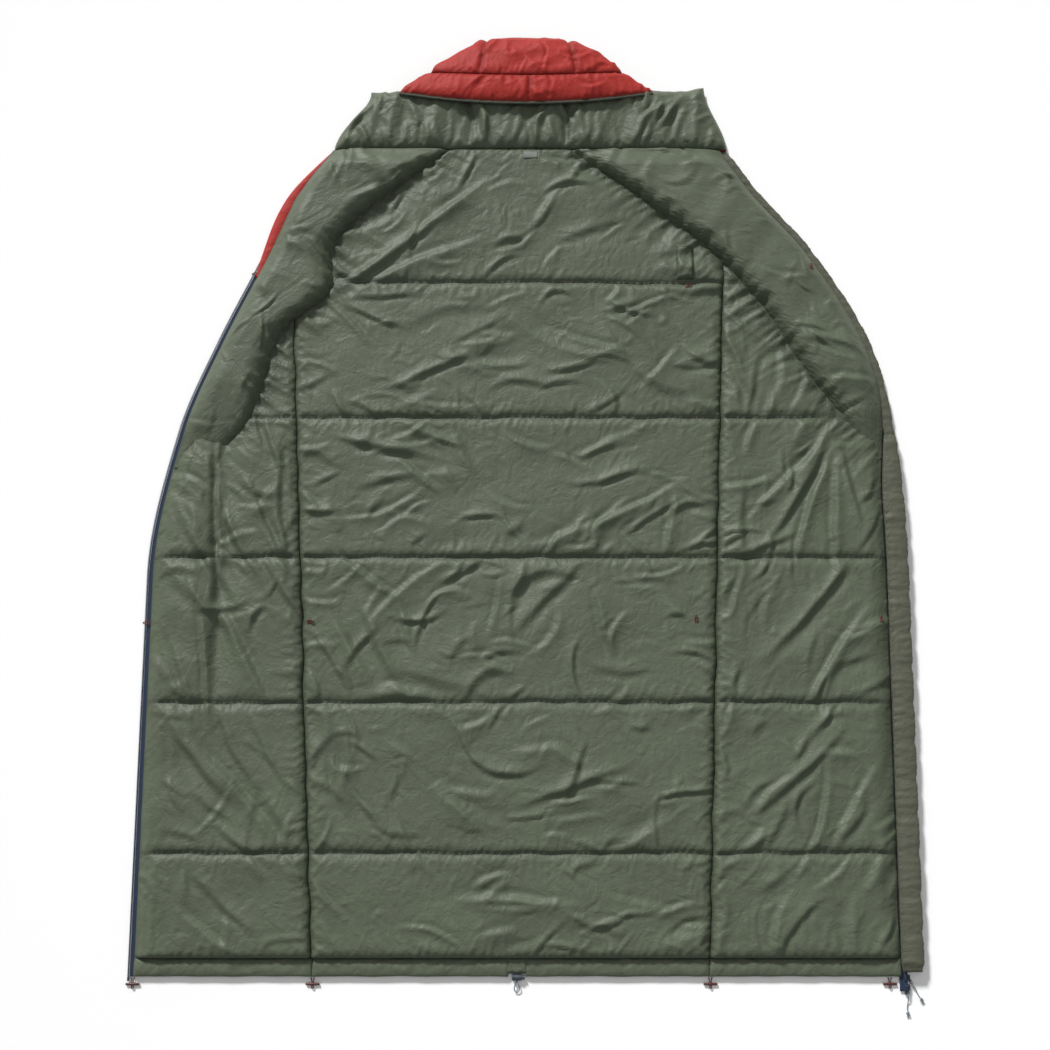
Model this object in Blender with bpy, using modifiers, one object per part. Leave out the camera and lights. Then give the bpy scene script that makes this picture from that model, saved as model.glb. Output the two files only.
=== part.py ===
"""A hooded, quilted sleeping bag with a centre zip, opened out flat with its lining up.

The back panel lies between two side folds, and a front panel turns over it on each fold.
Metres, +Z up. The foot hem's edge is y = 0 and x = 0 is the body's centre line while the
pieces are made; the whole bag is then moved so that the middle of its footprint is the origin.
"""

import math

import bmesh
import bpy
from mathutils import Vector

# ---------------------------------------------------------------- driving dimensions
HALF_WIDTH_LEFT = 0.788        # centre line to the left zip edge, at the widest
HALF_WIDTH_RIGHT = 0.797       # centre line to the draft tube's outer edge
BODY_LENGTH = 1.748            # hem edge to neck seam
HOOD_LENGTH = 0.262            # neck seam to the crown's top edge
STRAIGHT_LENGTH = 0.80         # straight run of each zip edge, up from the hem
FOOT_TAPER_LEFT = 0.001        # how much narrower each edge is at the hem
FOOT_TAPER_RIGHT = 0.009
FOLD_LEFT_HEM, FOLD_LEFT_NECK = 0.420, 0.5185     # left fold line, from the centre line
FOLD_RIGHT_HEM, FOLD_RIGHT_NECK = 0.364, 0.440    # right fold line

FABRIC = 0.0012                # thickness given to each nylon layer
GAP = 0.0003                   # clearance between touching pieces
SLAB_TOP = 0.030               # floor to the top of the lining, between seams
BATT_INSET = 0.004             # insulation edge, in from the shell's edge
BAND_TOP = 0.046               # floor to the top of the shoulder baffles
BAND_START_LEFT = 0.6064 * BODY_LENGTH            # lower ends of the shoulder baffles
BAND_START_RIGHT = 0.6178 * BODY_LENGTH
BAND_MARGIN = 0.004            # baffle's edge, in from the lining's edge

HEM_DEPTH, HEM_HEIGHT = 0.036, 0.014              # foot hem tunnel
HEM_MOUTH = 0.034              # gap in the middle of the hem, for the cord lock
HEM_MOUTH_X = -0.016           # its middle
DRAWCORD_RADIUS = 0.0011
LOCK_CENTRE = (HEM_MOUTH_X, -0.0015, 0.0064)
LOCK_RADIUS, LOCK_LENGTH = 0.0060, 0.0180
LOCK_BORE, LOCK_FLOOR = 0.0046, 0.0020            # bore radius, thickness of its closed end
BUTTON_TRAVEL, BUTTON_PROUD = 0.0018, 0.0045
BUTTON_WALL = 0.0008           # button left beyond the cord window
STRAND_PITCH = 0.0027          # between the two drawcord strands in the lock
SLOT_HEIGHT = 0.0030
SPRING_WIRE, SPRING_RADIUS, SPRING_TURNS = 0.0002, 0.0030, 3

ZIP_TAPE = 0.009               # visible width of the zip tape
COIL_RADIUS = 0.0023
COIL_HEIGHT = 0.0045           # floor to the coil's middle
TAPE_Z = 0.0038
ZIP_TAIL = 0.028               # length of zip that hangs past the hem on the right
SLIDER = (0.0120, 0.0120, 0.0074)                 # width, length, height
SLIDER_FLOOR = 0.0008
SLIDER_CLEARANCE = 0.0004
LOWER_SLIDER_Y, UPPER_SLIDER_Y = -0.0205, -0.0025
PULL = (0.0060, 0.0170, 0.0012)                   # width, length, thickness of a pull tab
PULL_CORD_RADIUS = 0.0011
KNOT_RADIUS = 0.0042
UPPER_PULL_TURN = 32.0         # degrees the upper pull is turned outwards

DRAFT_TUBE_WIDTH = 0.044
DRAFT_TUBE_Z = (0.0135, SLAB_TOP - FABRIC - 2 * GAP)
DRAFT_TUBE_RUN = (0.012, 1.08)
DRAFT_TUBE_FADE = 0.14         # half the stretch over which the zip comes out to the edge

TOGGLE_BAR_LENGTH, TOGGLE_BAR_RADIUS = 0.028, 0.0029
TOGGLE_CORD_RADIUS, TOGGLE_REACH, TOGGLE_TAIL = 0.0010, 0.0145, 0.0050
TOGGLE_SEAT = 0.0008           # how far a toggle's cord reaches past its turning axis
TOGGLE_FROM_EDGES = (0.011, 0.022)                # outer toggles, in from the left zip and the right panel
TOGGLE_FROM_FOLDS = (0.0, 0.003)                  # inner toggles, out from the left and right folds

LOOP_RADIUS, LOOP_LENGTH, LOOP_WIDTH = 0.0011, 0.013, 0.006

COLLAR_RISE = 0.140            # neck seam to the collar's top corners
COLLAR_LEFT, COLLAR_RIGHT = 0.341, 0.397          # corners, from the centre line
RIM_RISE = 0.127               # neck seam to the hood's rim
RIM_LEFT, RIM_RIGHT = 0.262, 0.280                # ends of the rim
CROWN_LEFT, CROWN_RIGHT = 0.105, 0.122            # ends of the crown's top edge
CROWN_TOP = 0.082
CROWN_PAD = 0.018              # padded thickness of the hood's upper layer
BROW_DEPTH = 0.036

# share of the body's length, then of the left and right half widths, above the straight run
EDGE_STATIONS = (
    (0.637, 0.934, 0.982), (0.750, 0.839, 0.927), (0.866, 0.720, 0.783),
    (0.944, 0.645, 0.642), (1.000, 0.556, 0.557),
)
# inner edge of the shoulder baffles: share of the body's length, then x
BAND_LEFT = ((0.607, -0.640), (0.650, -0.575), (0.763, -0.507), (0.813, -0.412),
             (0.885, -0.393), (0.977, -0.210), (1.0, -0.150))
BAND_RIGHT = ((0.618, 0.700), (0.662, 0.651), (0.712, 0.590), (0.788, 0.508),
              (0.872, 0.382), (0.931, 0.252), (1.0, 0.090))
LEFT, RIGHT = -1, 1

# colour, roughness, metallic
FINISHES = {
    "shell_red": ((0.33, 0.035, 0.022), 0.45, 0.0),
    "lining_green": ((0.055, 0.070, 0.045), 0.42, 0.0),
    "fill_white": ((0.85, 0.85, 0.82), 0.95, 0.0),
    "tape_navy": ((0.010, 0.022, 0.050), 0.7, 0.0),
    "coil_navy": ((0.012, 0.020, 0.040), 0.4, 0.0),
    "slider_navy": ((0.015, 0.020, 0.040), 0.35, 0.2),
    "cord_grey": ((0.16, 0.20, 0.24), 0.8, 0.0),
    "cord_brown": ((0.06, 0.012, 0.010), 0.8, 0.0),
    "toggle_brown": ((0.05, 0.010, 0.008), 0.5, 0.0),
    "lock_navy": ((0.03, 0.04, 0.05), 0.45, 0.0),
    "spring_steel": ((0.6, 0.6, 0.6), 0.3, 1.0),
    "binding_grey": ((0.10, 0.10, 0.085), 0.8, 0.0),
    "label_grey": ((0.45, 0.45, 0.42), 0.8, 0.0),
}


# ---------------------------------------------------------------- scene helpers
def clear_scene():
    for old in list(bpy.data.objects):
        bpy.data.objects.remove(old)


def new_collection(name):
    made = bpy.data.collections.new(name)
    bpy.context.scene.collection.children.link(made)
    return made


def material(finish):
    found = bpy.data.materials.get(finish)
    if found:
        return found
    colour, roughness, metallic = FINISHES[finish]
    made = bpy.data.materials.new(finish)
    made.use_nodes = True
    shader = made.node_tree.nodes["Principled BSDF"]
    shader.inputs["Base Color"].default_value = (*colour, 1.0)
    shader.inputs["Roughness"].default_value = roughness
    shader.inputs["Metallic"].default_value = metallic
    made.diffuse_color = (*colour, 1.0)
    return made


def place(name, data, finish, bag):
    obj = bpy.data.objects.new(name, data)
    data.materials.append(material(finish))
    bag["parts"].objects.link(obj)
    obj.parent = bag["origin"]
    return obj


def mesh_from(builder):
    """A mesh made by a function that fills a bmesh."""
    made = bpy.data.meshes.new("mesh")
    work = bmesh.new()
    builder(work)
    work.to_mesh(made)
    work.free()
    made.shade_smooth()
    made.set_sharp_from_angle(angle=math.radians(35))
    return made


def box(name, size, centre, finish, bag):
    def build(work):
        bmesh.ops.create_cube(work, size=1.0)
        bmesh.ops.scale(work, vec=size, verts=work.verts)
    obj = place(name, mesh_from(build), finish, bag)
    obj.location = centre
    return obj


def cylinder(name, radius, length, centre, axis, finish, bag, sides=20):
    """A round bar about the given axis."""
    def build(work):
        bmesh.ops.create_cone(work, cap_ends=True, segments=sides, radius1=radius,
                              radius2=radius, depth=length)
    obj = place(name, mesh_from(build), finish, bag)
    obj.rotation_mode = "QUATERNION"
    obj.rotation_quaternion = Vector((0, 0, 1)).rotation_difference(Vector(axis))
    obj.location = centre
    return obj


def outline(name, points, bottom, top, finish, bag):
    """A flat outline in x and y, filled and given the height from bottom to top."""
    curve = bpy.data.curves.new(name, "CURVE")
    curve.dimensions = "2D"
    curve.fill_mode = "BOTH"
    curve.extrude = (top - bottom) / 2
    spline = curve.splines.new("POLY")
    spline.points.add(len(points) - 1)
    for spot, (x, y) in zip(spline.points, points):
        spot.co = (x, y, 0, 1)
    spline.use_cyclic_u = True
    obj = place(name, curve, finish, bag)
    obj.location = (0, 0, (bottom + top) / 2)
    return obj


def tube(name, points, radius, finish, bag, resolution=2):
    """A round cord or wire along a list of points, with closed ends."""
    curve = bpy.data.curves.new(name, "CURVE")
    curve.dimensions = "3D"
    curve.bevel_depth = radius
    curve.bevel_resolution = resolution
    curve.use_fill_caps = True
    spline = curve.splines.new("POLY")
    spline.points.add(len(points) - 1)
    for spot, point in zip(spline.points, points):
        spot.co = (*point, 1)
    return place(name, curve, finish, bag)


def cutter(name, made, bag):
    """Turns a finished piece into a cutter."""
    made.name = name
    bag["parts"].objects.unlink(made)
    bag["cutters"].objects.link(made)
    made.hide_render = True
    made.display_type = "WIRE"
    return made


def cut(piece, tool):
    modifier = piece.modifiers.new(tool.name, "BOOLEAN")
    modifier.operation = "DIFFERENCE"
    modifier.object = tool


def smooth_path(points, step):
    """Points about a step apart on a Catmull-Rom curve through the given ones."""
    spots = [Vector(p) for p in points]
    spots = [2 * spots[0] - spots[1], *spots, 2 * spots[-1] - spots[-2]]
    made = []
    for a, b, c, d in zip(spots, spots[1:], spots[2:], spots[3:]):
        count = max(1, round((c - b).length / step))
        for i in range(count):
            t = i / count
            made.append(0.5 * (2 * b + (c - a) * t + (2 * a - 5 * b + 4 * c - d) * t * t
                               + (3 * b - a - 3 * c + d) * t ** 3))
    return [*made, spots[-2]]


# ---------------------------------------------------------------- the bag's outline
def spread(start, stop, count):
    return [start + (stop - start) * i / (count - 1) for i in range(count)]


def hermite(knots, y):
    """Smooth curve through (y, x, slope) knots, straight on beyond its ends."""
    if y <= knots[0][0]:
        return knots[0][1] + (y - knots[0][0]) * knots[0][2]
    for (y0, x0, s0), (y1, x1, s1) in zip(knots, knots[1:]):
        if y <= y1:
            h = y1 - y0
            t = (y - y0) / h
            return (x0 * (1 + 2 * t) * (1 - t) ** 2 + s0 * h * t * (1 - t) ** 2
                    + x1 * t * t * (3 - 2 * t) - s1 * h * t * t * (1 - t))
    return knots[-1][1] + (y - knots[-1][0]) * knots[-1][2]


def with_slopes(spots, first_slope=None):
    """(y, x) points with a slope at each: that of its two neighbours."""
    made = []
    for i, (y, x) in enumerate(spots):
        a, b = spots[max(0, i - 1)], spots[min(len(spots) - 1, i + 1)]
        made.append((y, x, (b[1] - a[1]) / (b[0] - a[0])))
    if first_slope is not None:
        made[0] = (*made[0][:2], first_slope)
    return made


def edge_knots(side):
    half = HALF_WIDTH_LEFT if side == LEFT else HALF_WIDTH_RIGHT
    taper = FOOT_TAPER_LEFT if side == LEFT else FOOT_TAPER_RIGHT
    column = 1 if side == LEFT else 2
    spots = [(STRAIGHT_LENGTH, half)]
    spots += [(row[0] * BODY_LENGTH, row[column] * half) for row in EDGE_STATIONS]
    return with_slopes(spots, taper / STRAIGHT_LENGTH)


EDGES = {side: edge_knots(side) for side in (LEFT, RIGHT)}
BANDS = {LEFT: with_slopes([(s * BODY_LENGTH, -x) for s, x in BAND_LEFT]),
         RIGHT: with_slopes([(s * BODY_LENGTH, x) for s, x in BAND_RIGHT])}


def edge_x(side, y, inset=0.0):
    """The outer edge of the bag at y, in from it by inset square to the edge; x is away from the centre."""
    step = 0.001
    slope = (hermite(EDGES[side], y + step) - hermite(EDGES[side], y - step)) / (2 * step)
    return hermite(EDGES[side], y) - inset * math.hypot(1, slope)


def fold_x(side, y):
    hem, neck = ((FOLD_LEFT_HEM, FOLD_LEFT_NECK) if side == LEFT
                 else (FOLD_RIGHT_HEM, FOLD_RIGHT_NECK))
    return hem + (neck - hem) * y / BODY_LENGTH


def band_x(side, y):
    return hermite(BANDS[side], y)


def slab_inset(side, y):
    """From the bag's outer edge in to its shell: the zip's width, or the draft tube's beside that."""
    zip_width = ZIP_TAPE + 2 * COIL_RADIUS
    if side == LEFT:
        return zip_width
    start, stop = DRAFT_TUBE_RUN[1] - DRAFT_TUBE_FADE, DRAFT_TUBE_RUN[1] + DRAFT_TUBE_FADE
    t = min(1.0, max(0.0, (y - start) / (stop - start)))
    return DRAFT_TUBE_WIDTH + (zip_width - DRAFT_TUBE_WIDTH) * t * t * (3 - 2 * t)


def meeting_y(side, inset, width):
    """Where the fold line comes to width from a line that lies inset from the slab's edge."""
    low, high = STRAIGHT_LENGTH, BODY_LENGTH
    for _ in range(40):
        middle = (low + high) / 2
        if edge_x(side, middle, slab_inset(side, middle) + inset) - fold_x(side, middle) > width:
            low = middle
        else:
            high = middle
    return low


def strip(name, side, inner, outer, start, stop, heights, finish, bag, count=22):
    """A slab on one side between two curves x(y), both away from the centre line."""
    ys = spread(start, stop, count)
    points = [(side * inner(y), y) for y in ys]
    points += [(side * outer(y), y) for y in reversed(ys)]
    return outline(name, points, *heights, finish, bag)


# ---------------------------------------------------------------- body panels
LAYERS = {
    "shell": ((0.0, FABRIC), 0.0, "shell_red"),
    "insulation": ((FABRIC + GAP, SLAB_TOP - FABRIC - GAP), BATT_INSET, "fill_white"),
    "lining": ((SLAB_TOP - FABRIC, SLAB_TOP), 0.0, "lining_green"),
}


def back_panel(bag):
    """Shell, insulation and lining between the two folds, from hem tunnel to neck seam."""
    for layer, (heights, inset, finish) in LAYERS.items():
        ys = spread(HEM_DEPTH + GAP + inset, BODY_LENGTH - GAP - inset, 30)

        def reach(side, y):
            return min(fold_x(side, y) - GAP / 2, edge_x(side, y, slab_inset(side, y))) - inset
        points = [(RIGHT * reach(RIGHT, y), y) for y in ys]
        points += [(LEFT * reach(LEFT, y), y) for y in reversed(ys)]
        outline("back_" + layer, points, *heights, finish, bag)


def front_panel(side, word, bag):
    """Shell, insulation and lining outside one fold, to the zip."""
    for layer, (heights, inset, finish) in LAYERS.items():
        stop = meeting_y(side, inset, 0.006 + 2 * inset)
        strip(f"{word}_front_{layer}", side, lambda y: fold_x(side, y) + GAP / 2 + inset,
              lambda y: edge_x(side, y, slab_inset(side, y) + inset),
              HEM_DEPTH + GAP + inset, stop, heights, finish, bag)


def shoulder_baffles(side, word, start, bag):
    """The padded baffle from the neck down the front edge, parted at the fold."""
    heights = (SLAB_TOP + GAP, BAND_TOP)
    def edge(y):
        return edge_x(side, y, slab_inset(side, y) + BAND_MARGIN)
    strip(word + "_shoulder_baffle", side, lambda y: band_x(side, y),
          lambda y: min(fold_x(side, y) - GAP, edge(y)), meeting_band(side) + 3 * BAND_MARGIN,
          BODY_LENGTH - BAND_MARGIN, heights, "lining_green", bag, 18)
    strip(word + "_front_baffle", side, lambda y: max(band_x(side, y), fold_x(side, y) + GAP), edge,
          start, meeting_y(side, BAND_MARGIN, 3 * BAND_MARGIN), heights, "lining_green", bag, 18)


def meeting_band(side):
    """Where the baffle's inner edge crosses the fold line."""
    low, high = 0.6 * BODY_LENGTH, 0.9 * BODY_LENGTH
    for _ in range(40):
        middle = (low + high) / 2
        if band_x(side, middle) > fold_x(side, middle):
            low = middle
        else:
            high = middle
    return low


# ---------------------------------------------------------------- foot hem and cord lock
def hem_tunnel(name, start, stop, bag):
    """A flat fabric tube along the hem, open at both ends for the drawcord."""
    outer = box(name, (stop - start, HEM_DEPTH, HEM_HEIGHT),
                ((start + stop) / 2, HEM_DEPTH / 2, HEM_HEIGHT / 2), "lining_green", bag)
    bore = box("cutter", (stop - start + 0.01, HEM_DEPTH - 2 * FABRIC, HEM_HEIGHT - 2 * FABRIC),
               outer.location, "lining_green", bag)
    cut(outer, cutter(name + "_bore", bore, bag))


def foot_hem(bag):
    mouth = (HEM_MOUTH_X - HEM_MOUTH / 2, HEM_MOUTH_X + HEM_MOUTH / 2)
    fold = {side: side * fold_x(side, 0) for side in (LEFT, RIGHT)}
    edge = {side: side * edge_x(side, 0, slab_inset(side, 0)) for side in (LEFT, RIGHT)}
    hem_tunnel("left_front_hem", edge[LEFT], fold[LEFT] - GAP, bag)
    hem_tunnel("back_hem_left", fold[LEFT] + GAP, mouth[0], bag)
    hem_tunnel("back_hem_right", mouth[1], fold[RIGHT] - GAP, bag)
    hem_tunnel("right_front_hem", fold[RIGHT] + GAP, edge[RIGHT], bag)


def cord_lock(bag):
    """A barrel that the two drawcord strands cross, a sprung button in it, and its spring."""
    x, y, z = LOCK_CENTRE
    axis = (1, 0, 0)
    slot_left = x - STRAND_PITCH / 2 - DRAWCORD_RADIUS - GAP
    slot_right = x + STRAND_PITCH / 2 + DRAWCORD_RADIUS + GAP
    body = cylinder("cord_lock_body", LOCK_RADIUS, LOCK_LENGTH, LOCK_CENTRE, axis, "lock_navy", bag)
    left_end = x - LOCK_LENGTH / 2
    bore = cylinder("cutter", LOCK_BORE, LOCK_LENGTH, (x + LOCK_FLOOR, y, z), axis,
                    "lock_navy", bag)
    cut(body, cutter("cord_lock_bore", bore, bag))
    slot = box("cutter", (slot_right - slot_left, 0.03, SLOT_HEIGHT),
               ((slot_left + slot_right) / 2, y, z), "lock_navy", bag)
    cut(body, cutter("cord_lock_slot", slot, bag))
    start = slot_left - BUTTON_TRAVEL - BUTTON_WALL
    stop = x + LOCK_LENGTH / 2 + BUTTON_PROUD
    button = cylinder("cord_lock_button", LOCK_BORE - GAP, stop - start,
                      ((start + stop) / 2 + BUTTON_TRAVEL, y, z), axis, "lock_navy", bag)
    window = box("cutter", (slot_right - slot_left + BUTTON_TRAVEL, 0.03, SLOT_HEIGHT),
                 ((slot_left + slot_right + BUTTON_TRAVEL) / 2, y, z), "lock_navy", bag)
    cut(button, cutter("cord_lock_window", window, bag))
    low = left_end + LOCK_FLOOR + GAP + SPRING_WIRE
    high = start + BUTTON_TRAVEL - GAP - SPRING_WIRE
    turns = []
    for i in range(SPRING_TURNS * 12 + 1):
        angle = math.tau * i / 12
        turns.append((low + (high - low) * i / (SPRING_TURNS * 12),
                      y + SPRING_RADIUS * math.cos(angle), z + SPRING_RADIUS * math.sin(angle)))
    tube("cord_lock_spring", turns, SPRING_WIRE, "spring_steel", bag, 1)


def hem_drawcord(bag):
    """Out of the left tunnel, down through the lock, round a short loop and back to the right."""
    x, y, z = LOCK_CENTRE
    left, right = x - STRAND_PITCH / 2, x + STRAND_PITCH / 2
    middle = HEM_DEPTH / 2
    floor = FABRIC + DRAWCORD_RADIUS + GAP
    reach = LOCK_RADIUS + 0.003
    tail, bulge = 0.020, 0.0038
    points = [(-0.37, middle, floor), (-0.20, middle, floor), (x - 0.030, middle, floor),
              (x - 0.012, middle - 0.001, (floor + z) / 2), (left - 0.0015, y + reach + 0.004, z),
              (left, y + reach - 0.001, z), (left, y, z), (left, y - reach + 0.001, z),
              (left - bulge * 0.55, y - reach - tail * 0.25, z),
              (left - bulge, y - reach - tail * 0.6, z), (left - bulge * 0.6, y - reach - tail * 0.88, z),
              (x, y - reach - tail, z),
              (right + bulge * 0.6, y - reach - tail * 0.88, z), (right + bulge, y - reach - tail * 0.6, z),
              (right + bulge * 0.55, y - reach - tail * 0.25, z),
              (right, y - reach + 0.001, z), (right, y, z), (right, y + reach - 0.001, z),
              (right + 0.0015, y + reach + 0.004, z), (x + 0.012, middle - 0.001, (floor + z) / 2),
              (x + 0.030, middle, floor), (0.17, middle, floor), (0.33, middle, floor)]
    spots = []
    path = smooth_path(points, 0.0025)
    for spot in path:
        if not spots or (spot - spots[-1]).length > (0.03 if abs(spot.x - x) > 0.03 else 0.0015):
            spots.append(spot)
    tube("hem_drawcord", [*spots, path[-1]], DRAWCORD_RADIUS, "cord_grey", bag)


# ---------------------------------------------------------------- zip
def zip_line(side, y):
    """The middle of the coil on one side."""
    return side * edge_x(side, y, slab_inset(side, y) - ZIP_TAPE - COIL_RADIUS)


def zip_chain(side, word, start, stop, bag):
    """The tape beside the slab's edge and the coil along the tape's outer edge."""
    ys = [*spread(start, STRAIGHT_LENGTH, 3), *spread(STRAIGHT_LENGTH, stop, 26)[1:]]
    points = [(side * edge_x(side, y, slab_inset(side, y) - GAP), y) for y in ys]
    points += [(side * edge_x(side, y, slab_inset(side, y) - ZIP_TAPE + GAP), y)
               for y in reversed(ys)]
    outline(word + "_zip_tape", points, TAPE_Z, TAPE_Z + FABRIC, "tape_navy", bag)
    tube(word + "_zip_coil", [(zip_line(side, y), y, COIL_HEIGHT) for y in ys], COIL_RADIUS,
         "coil_navy", bag)


def left_pin(bag):
    """The insertion pin at the foot of the left zip."""
    length = 0.0085
    box("left_zip_pin", (0.0040, length, 0.0030),
        (zip_line(LEFT, 0), -GAP - length / 2, COIL_HEIGHT), "slider_navy", bag)


def right_box(bag):
    """The retainer box at the foot of the right zip."""
    y = -ZIP_TAIL
    box("right_zip_box", (0.0090, 0.0060, 0.0046), (zip_line(RIGHT, y), y - 0.0030 - GAP,
        SLIDER_FLOOR + 0.0029), "slider_navy", bag)


def slider(name, y, bag):
    """A slider round the coil, open towards the tape, with a bridge for its pull."""
    width, length, height = SLIDER
    x = zip_line(RIGHT, y)
    body = box(name, SLIDER, (x, y, SLIDER_FLOOR + height / 2), "slider_navy", bag)
    reach = COIL_RADIUS + SLIDER_CLEARANCE
    turn = math.atan2(zip_line(RIGHT, y + 0.1) - x, 0.1)
    channel = cylinder("cutter", reach, 0.05, (x, y, COIL_HEIGHT),
                       (math.sin(turn), math.cos(turn), 0), "slider_navy", bag, 24)
    cut(body, cutter(name + "_channel", channel, bag))
    throat = box("cutter", (0.02, 0.05, FABRIC + 2 * SLIDER_CLEARANCE),
                 (x - 0.010, y, TAPE_Z + FABRIC / 2), "slider_navy", bag)
    cut(body, cutter(name + "_throat", throat, bag))


def pull(word, y, turn, bag):
    """A pull tab that lies on its slider, a short cord knotted to it and the knot."""
    x = zip_line(RIGHT, y)
    width, length, thickness = PULL
    z = SLIDER_FLOOR + SLIDER[2] + GAP + thickness / 2
    angle = math.radians(turn)
    way = Vector((math.sin(angle), -math.cos(angle), 0))
    across = Vector((math.cos(angle), math.sin(angle), 0))
    start = Vector((x, y + 0.003, z))
    tab = box(word + "_pull_tab", (width, length, thickness), start + way * length / 2,
              "slider_navy", bag)
    tab.rotation_euler = (0, 0, angle)
    eye = start + way * (length - 0.0035)
    hole = cylinder("cutter", 0.0017, 0.02, eye, (0, 0, 1), "slider_navy", bag, 12)
    cut(tab, cutter(word + "_pull_eye", hole, bag))
    low = PULL_CORD_RADIUS + GAP
    leave = start + way * (length + GAP)
    leave.z = z
    points = [leave, leave + way * 0.004 + Vector((0, 0, -0.0006)),
              leave + way * 0.010 + across * 0.0010 + Vector((0, 0, -0.0035)),
              leave + way * 0.017 + across * 0.0004 + Vector((0, 0, low - z + 0.0008)),
              leave + way * 0.024 - across * 0.0006 + Vector((0, 0, low - z)),
              leave + way * 0.031 - across * 0.0004 + Vector((0, 0, low - z))]
    path = smooth_path(points, 0.0025)
    tube(word + "_pull_cord", path, PULL_CORD_RADIUS, "cord_grey", bag)
    end = path[-1] + way * (KNOT_RADIUS + GAP)

    def build(work):
        bmesh.ops.create_uvsphere(work, u_segments=12, v_segments=8, radius=KNOT_RADIUS)
    knot = place(word + "_pull_knot", mesh_from(build), "cord_grey", bag)
    knot.location = (end.x, end.y, KNOT_RADIUS + GAP)


def draft_tube(bag):
    """The padded tube that covers the right zip from inside."""
    strip("draft_tube", RIGHT, lambda y: edge_x(RIGHT, y, slab_inset(RIGHT, y) - GAP),
          lambda y: edge_x(RIGHT, y), *DRAFT_TUBE_RUN, DRAFT_TUBE_Z, "lining_green", bag, 26)


# ---------------------------------------------------------------- toggles and loops
def toggle(number, x, bag):
    """A cord loop at the hem's edge, through the eye of a short cross bar."""
    z = TOGGLE_BAR_RADIUS + GAP
    y = -TOGGLE_REACH
    bar = cylinder(f"toggle_bar_{number}", TOGGLE_BAR_RADIUS, TOGGLE_BAR_LENGTH, (x, y, z),
                   (1, 0, 0), "toggle_brown", bag, 14)
    bevel = bar.modifiers.new("rounded ends", "BEVEL")
    bevel.width = 0.0010
    bevel.segments = 2
    bevel.limit_method = "ANGLE"
    half = TOGGLE_CORD_RADIUS + GAP
    eye = box("cutter", (2 * (half + TOGGLE_CORD_RADIUS + GAP), 0.02, 2 * (TOGGLE_CORD_RADIUS + GAP)),
              (x, y, z), "toggle_brown", bag)
    cut(bar, cutter(f"toggle_eye_{number}", eye, bag))
    start = TOGGLE_SEAT - TOGGLE_CORD_RADIUS - 2 * GAP
    points = [(x - 0.0035, start, z), (x - 0.0022, y * 0.4, z), (x - half, y + 0.004, z),
              (x - half, y - TOGGLE_BAR_RADIUS - 0.001, z),
              (x - 0.0022, y - TOGGLE_BAR_RADIUS - TOGGLE_TAIL * 0.6, z),
              (x, y - TOGGLE_BAR_RADIUS - TOGGLE_TAIL, z),
              (x + 0.0022, y - TOGGLE_BAR_RADIUS - TOGGLE_TAIL * 0.6, z),
              (x + half, y - TOGGLE_BAR_RADIUS - 0.001, z),
              (x + half, y + 0.004, z), (x + 0.0022, y * 0.4, z), (x + 0.0035, start, z)]
    tube(f"toggle_cord_{number}", smooth_path(points, 0.002), TOGGLE_CORD_RADIUS, "cord_brown", bag)


def all_toggles(bag):
    """One at each outer edge of the hem and one at each fold."""
    places = (-(edge_x(LEFT, 0) - TOGGLE_FROM_EDGES[0]), -(fold_x(LEFT, 0) + TOGGLE_FROM_FOLDS[0]),
              fold_x(RIGHT, 0) + TOGGLE_FROM_FOLDS[1],
              edge_x(RIGHT, 0, slab_inset(RIGHT, 0)) - TOGGLE_FROM_EDGES[1])
    for number, x in enumerate(places, 1):
        toggle(number, x, bag)


def toggle_loop(number, x, y, z, turn, bag):
    """A sewn cord loop that lies flat and points along turn, in degrees from +x."""
    angle = math.radians(turn)
    way = Vector((math.cos(angle), math.sin(angle), 0))
    across = Vector((-way.y, way.x, 0))
    root = Vector((x, y, z + LOOP_RADIUS + GAP))
    points = []
    for i in range(13):
        t = math.pi * i / 12
        points.append(root + way * LOOP_LENGTH * math.sin(t) + across * LOOP_WIDTH / 2 * math.cos(t))
    tube(f"toggle_loop_{number}", points, LOOP_RADIUS, "cord_brown", bag)


def all_loops(bag):
    """Three across the middle and the shoulder rows, at the seams and at the zip edges."""
    middle, shoulder = 0.703, 1.463
    coil_top = COIL_HEIGHT + COIL_RADIUS
    left_side = slab_inset(LEFT, 0) - LOOP_RADIUS - 2 * GAP
    spots = [
        (-edge_x(LEFT, middle, left_side), middle, coil_top, 180),
        (-fold_x(LEFT, middle) + 0.012, middle, SLAB_TOP, 0),
        (0.352, middle, SLAB_TOP, 90),
        (edge_x(RIGHT, middle, slab_inset(RIGHT, middle) + 0.018), middle, SLAB_TOP, 90),
        (-edge_x(LEFT, shoulder, left_side), shoulder, coil_top, 180),
        (0.345, 1.430, SLAB_TOP, 0),
        (edge_x(RIGHT, shoulder, slab_inset(RIGHT, shoulder) + 0.022), shoulder, BAND_TOP, 90),
    ]
    for number, (x, y, z, turn) in enumerate(spots, 1):
        toggle_loop(number, x, y, z, turn, bag)


# ---------------------------------------------------------------- pocket and label
def small_trim(bag):
    box("stash_pocket", (0.038, 0.076, 0.008), (0.345, 1.482, SLAB_TOP + GAP + 0.004),
        "lining_green", bag)
    box("neck_label", (0.030, 0.018, 0.0008), (0.012, BODY_LENGTH - 0.016, SLAB_TOP + GAP + 0.0004),
        "label_grey", bag)


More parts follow.
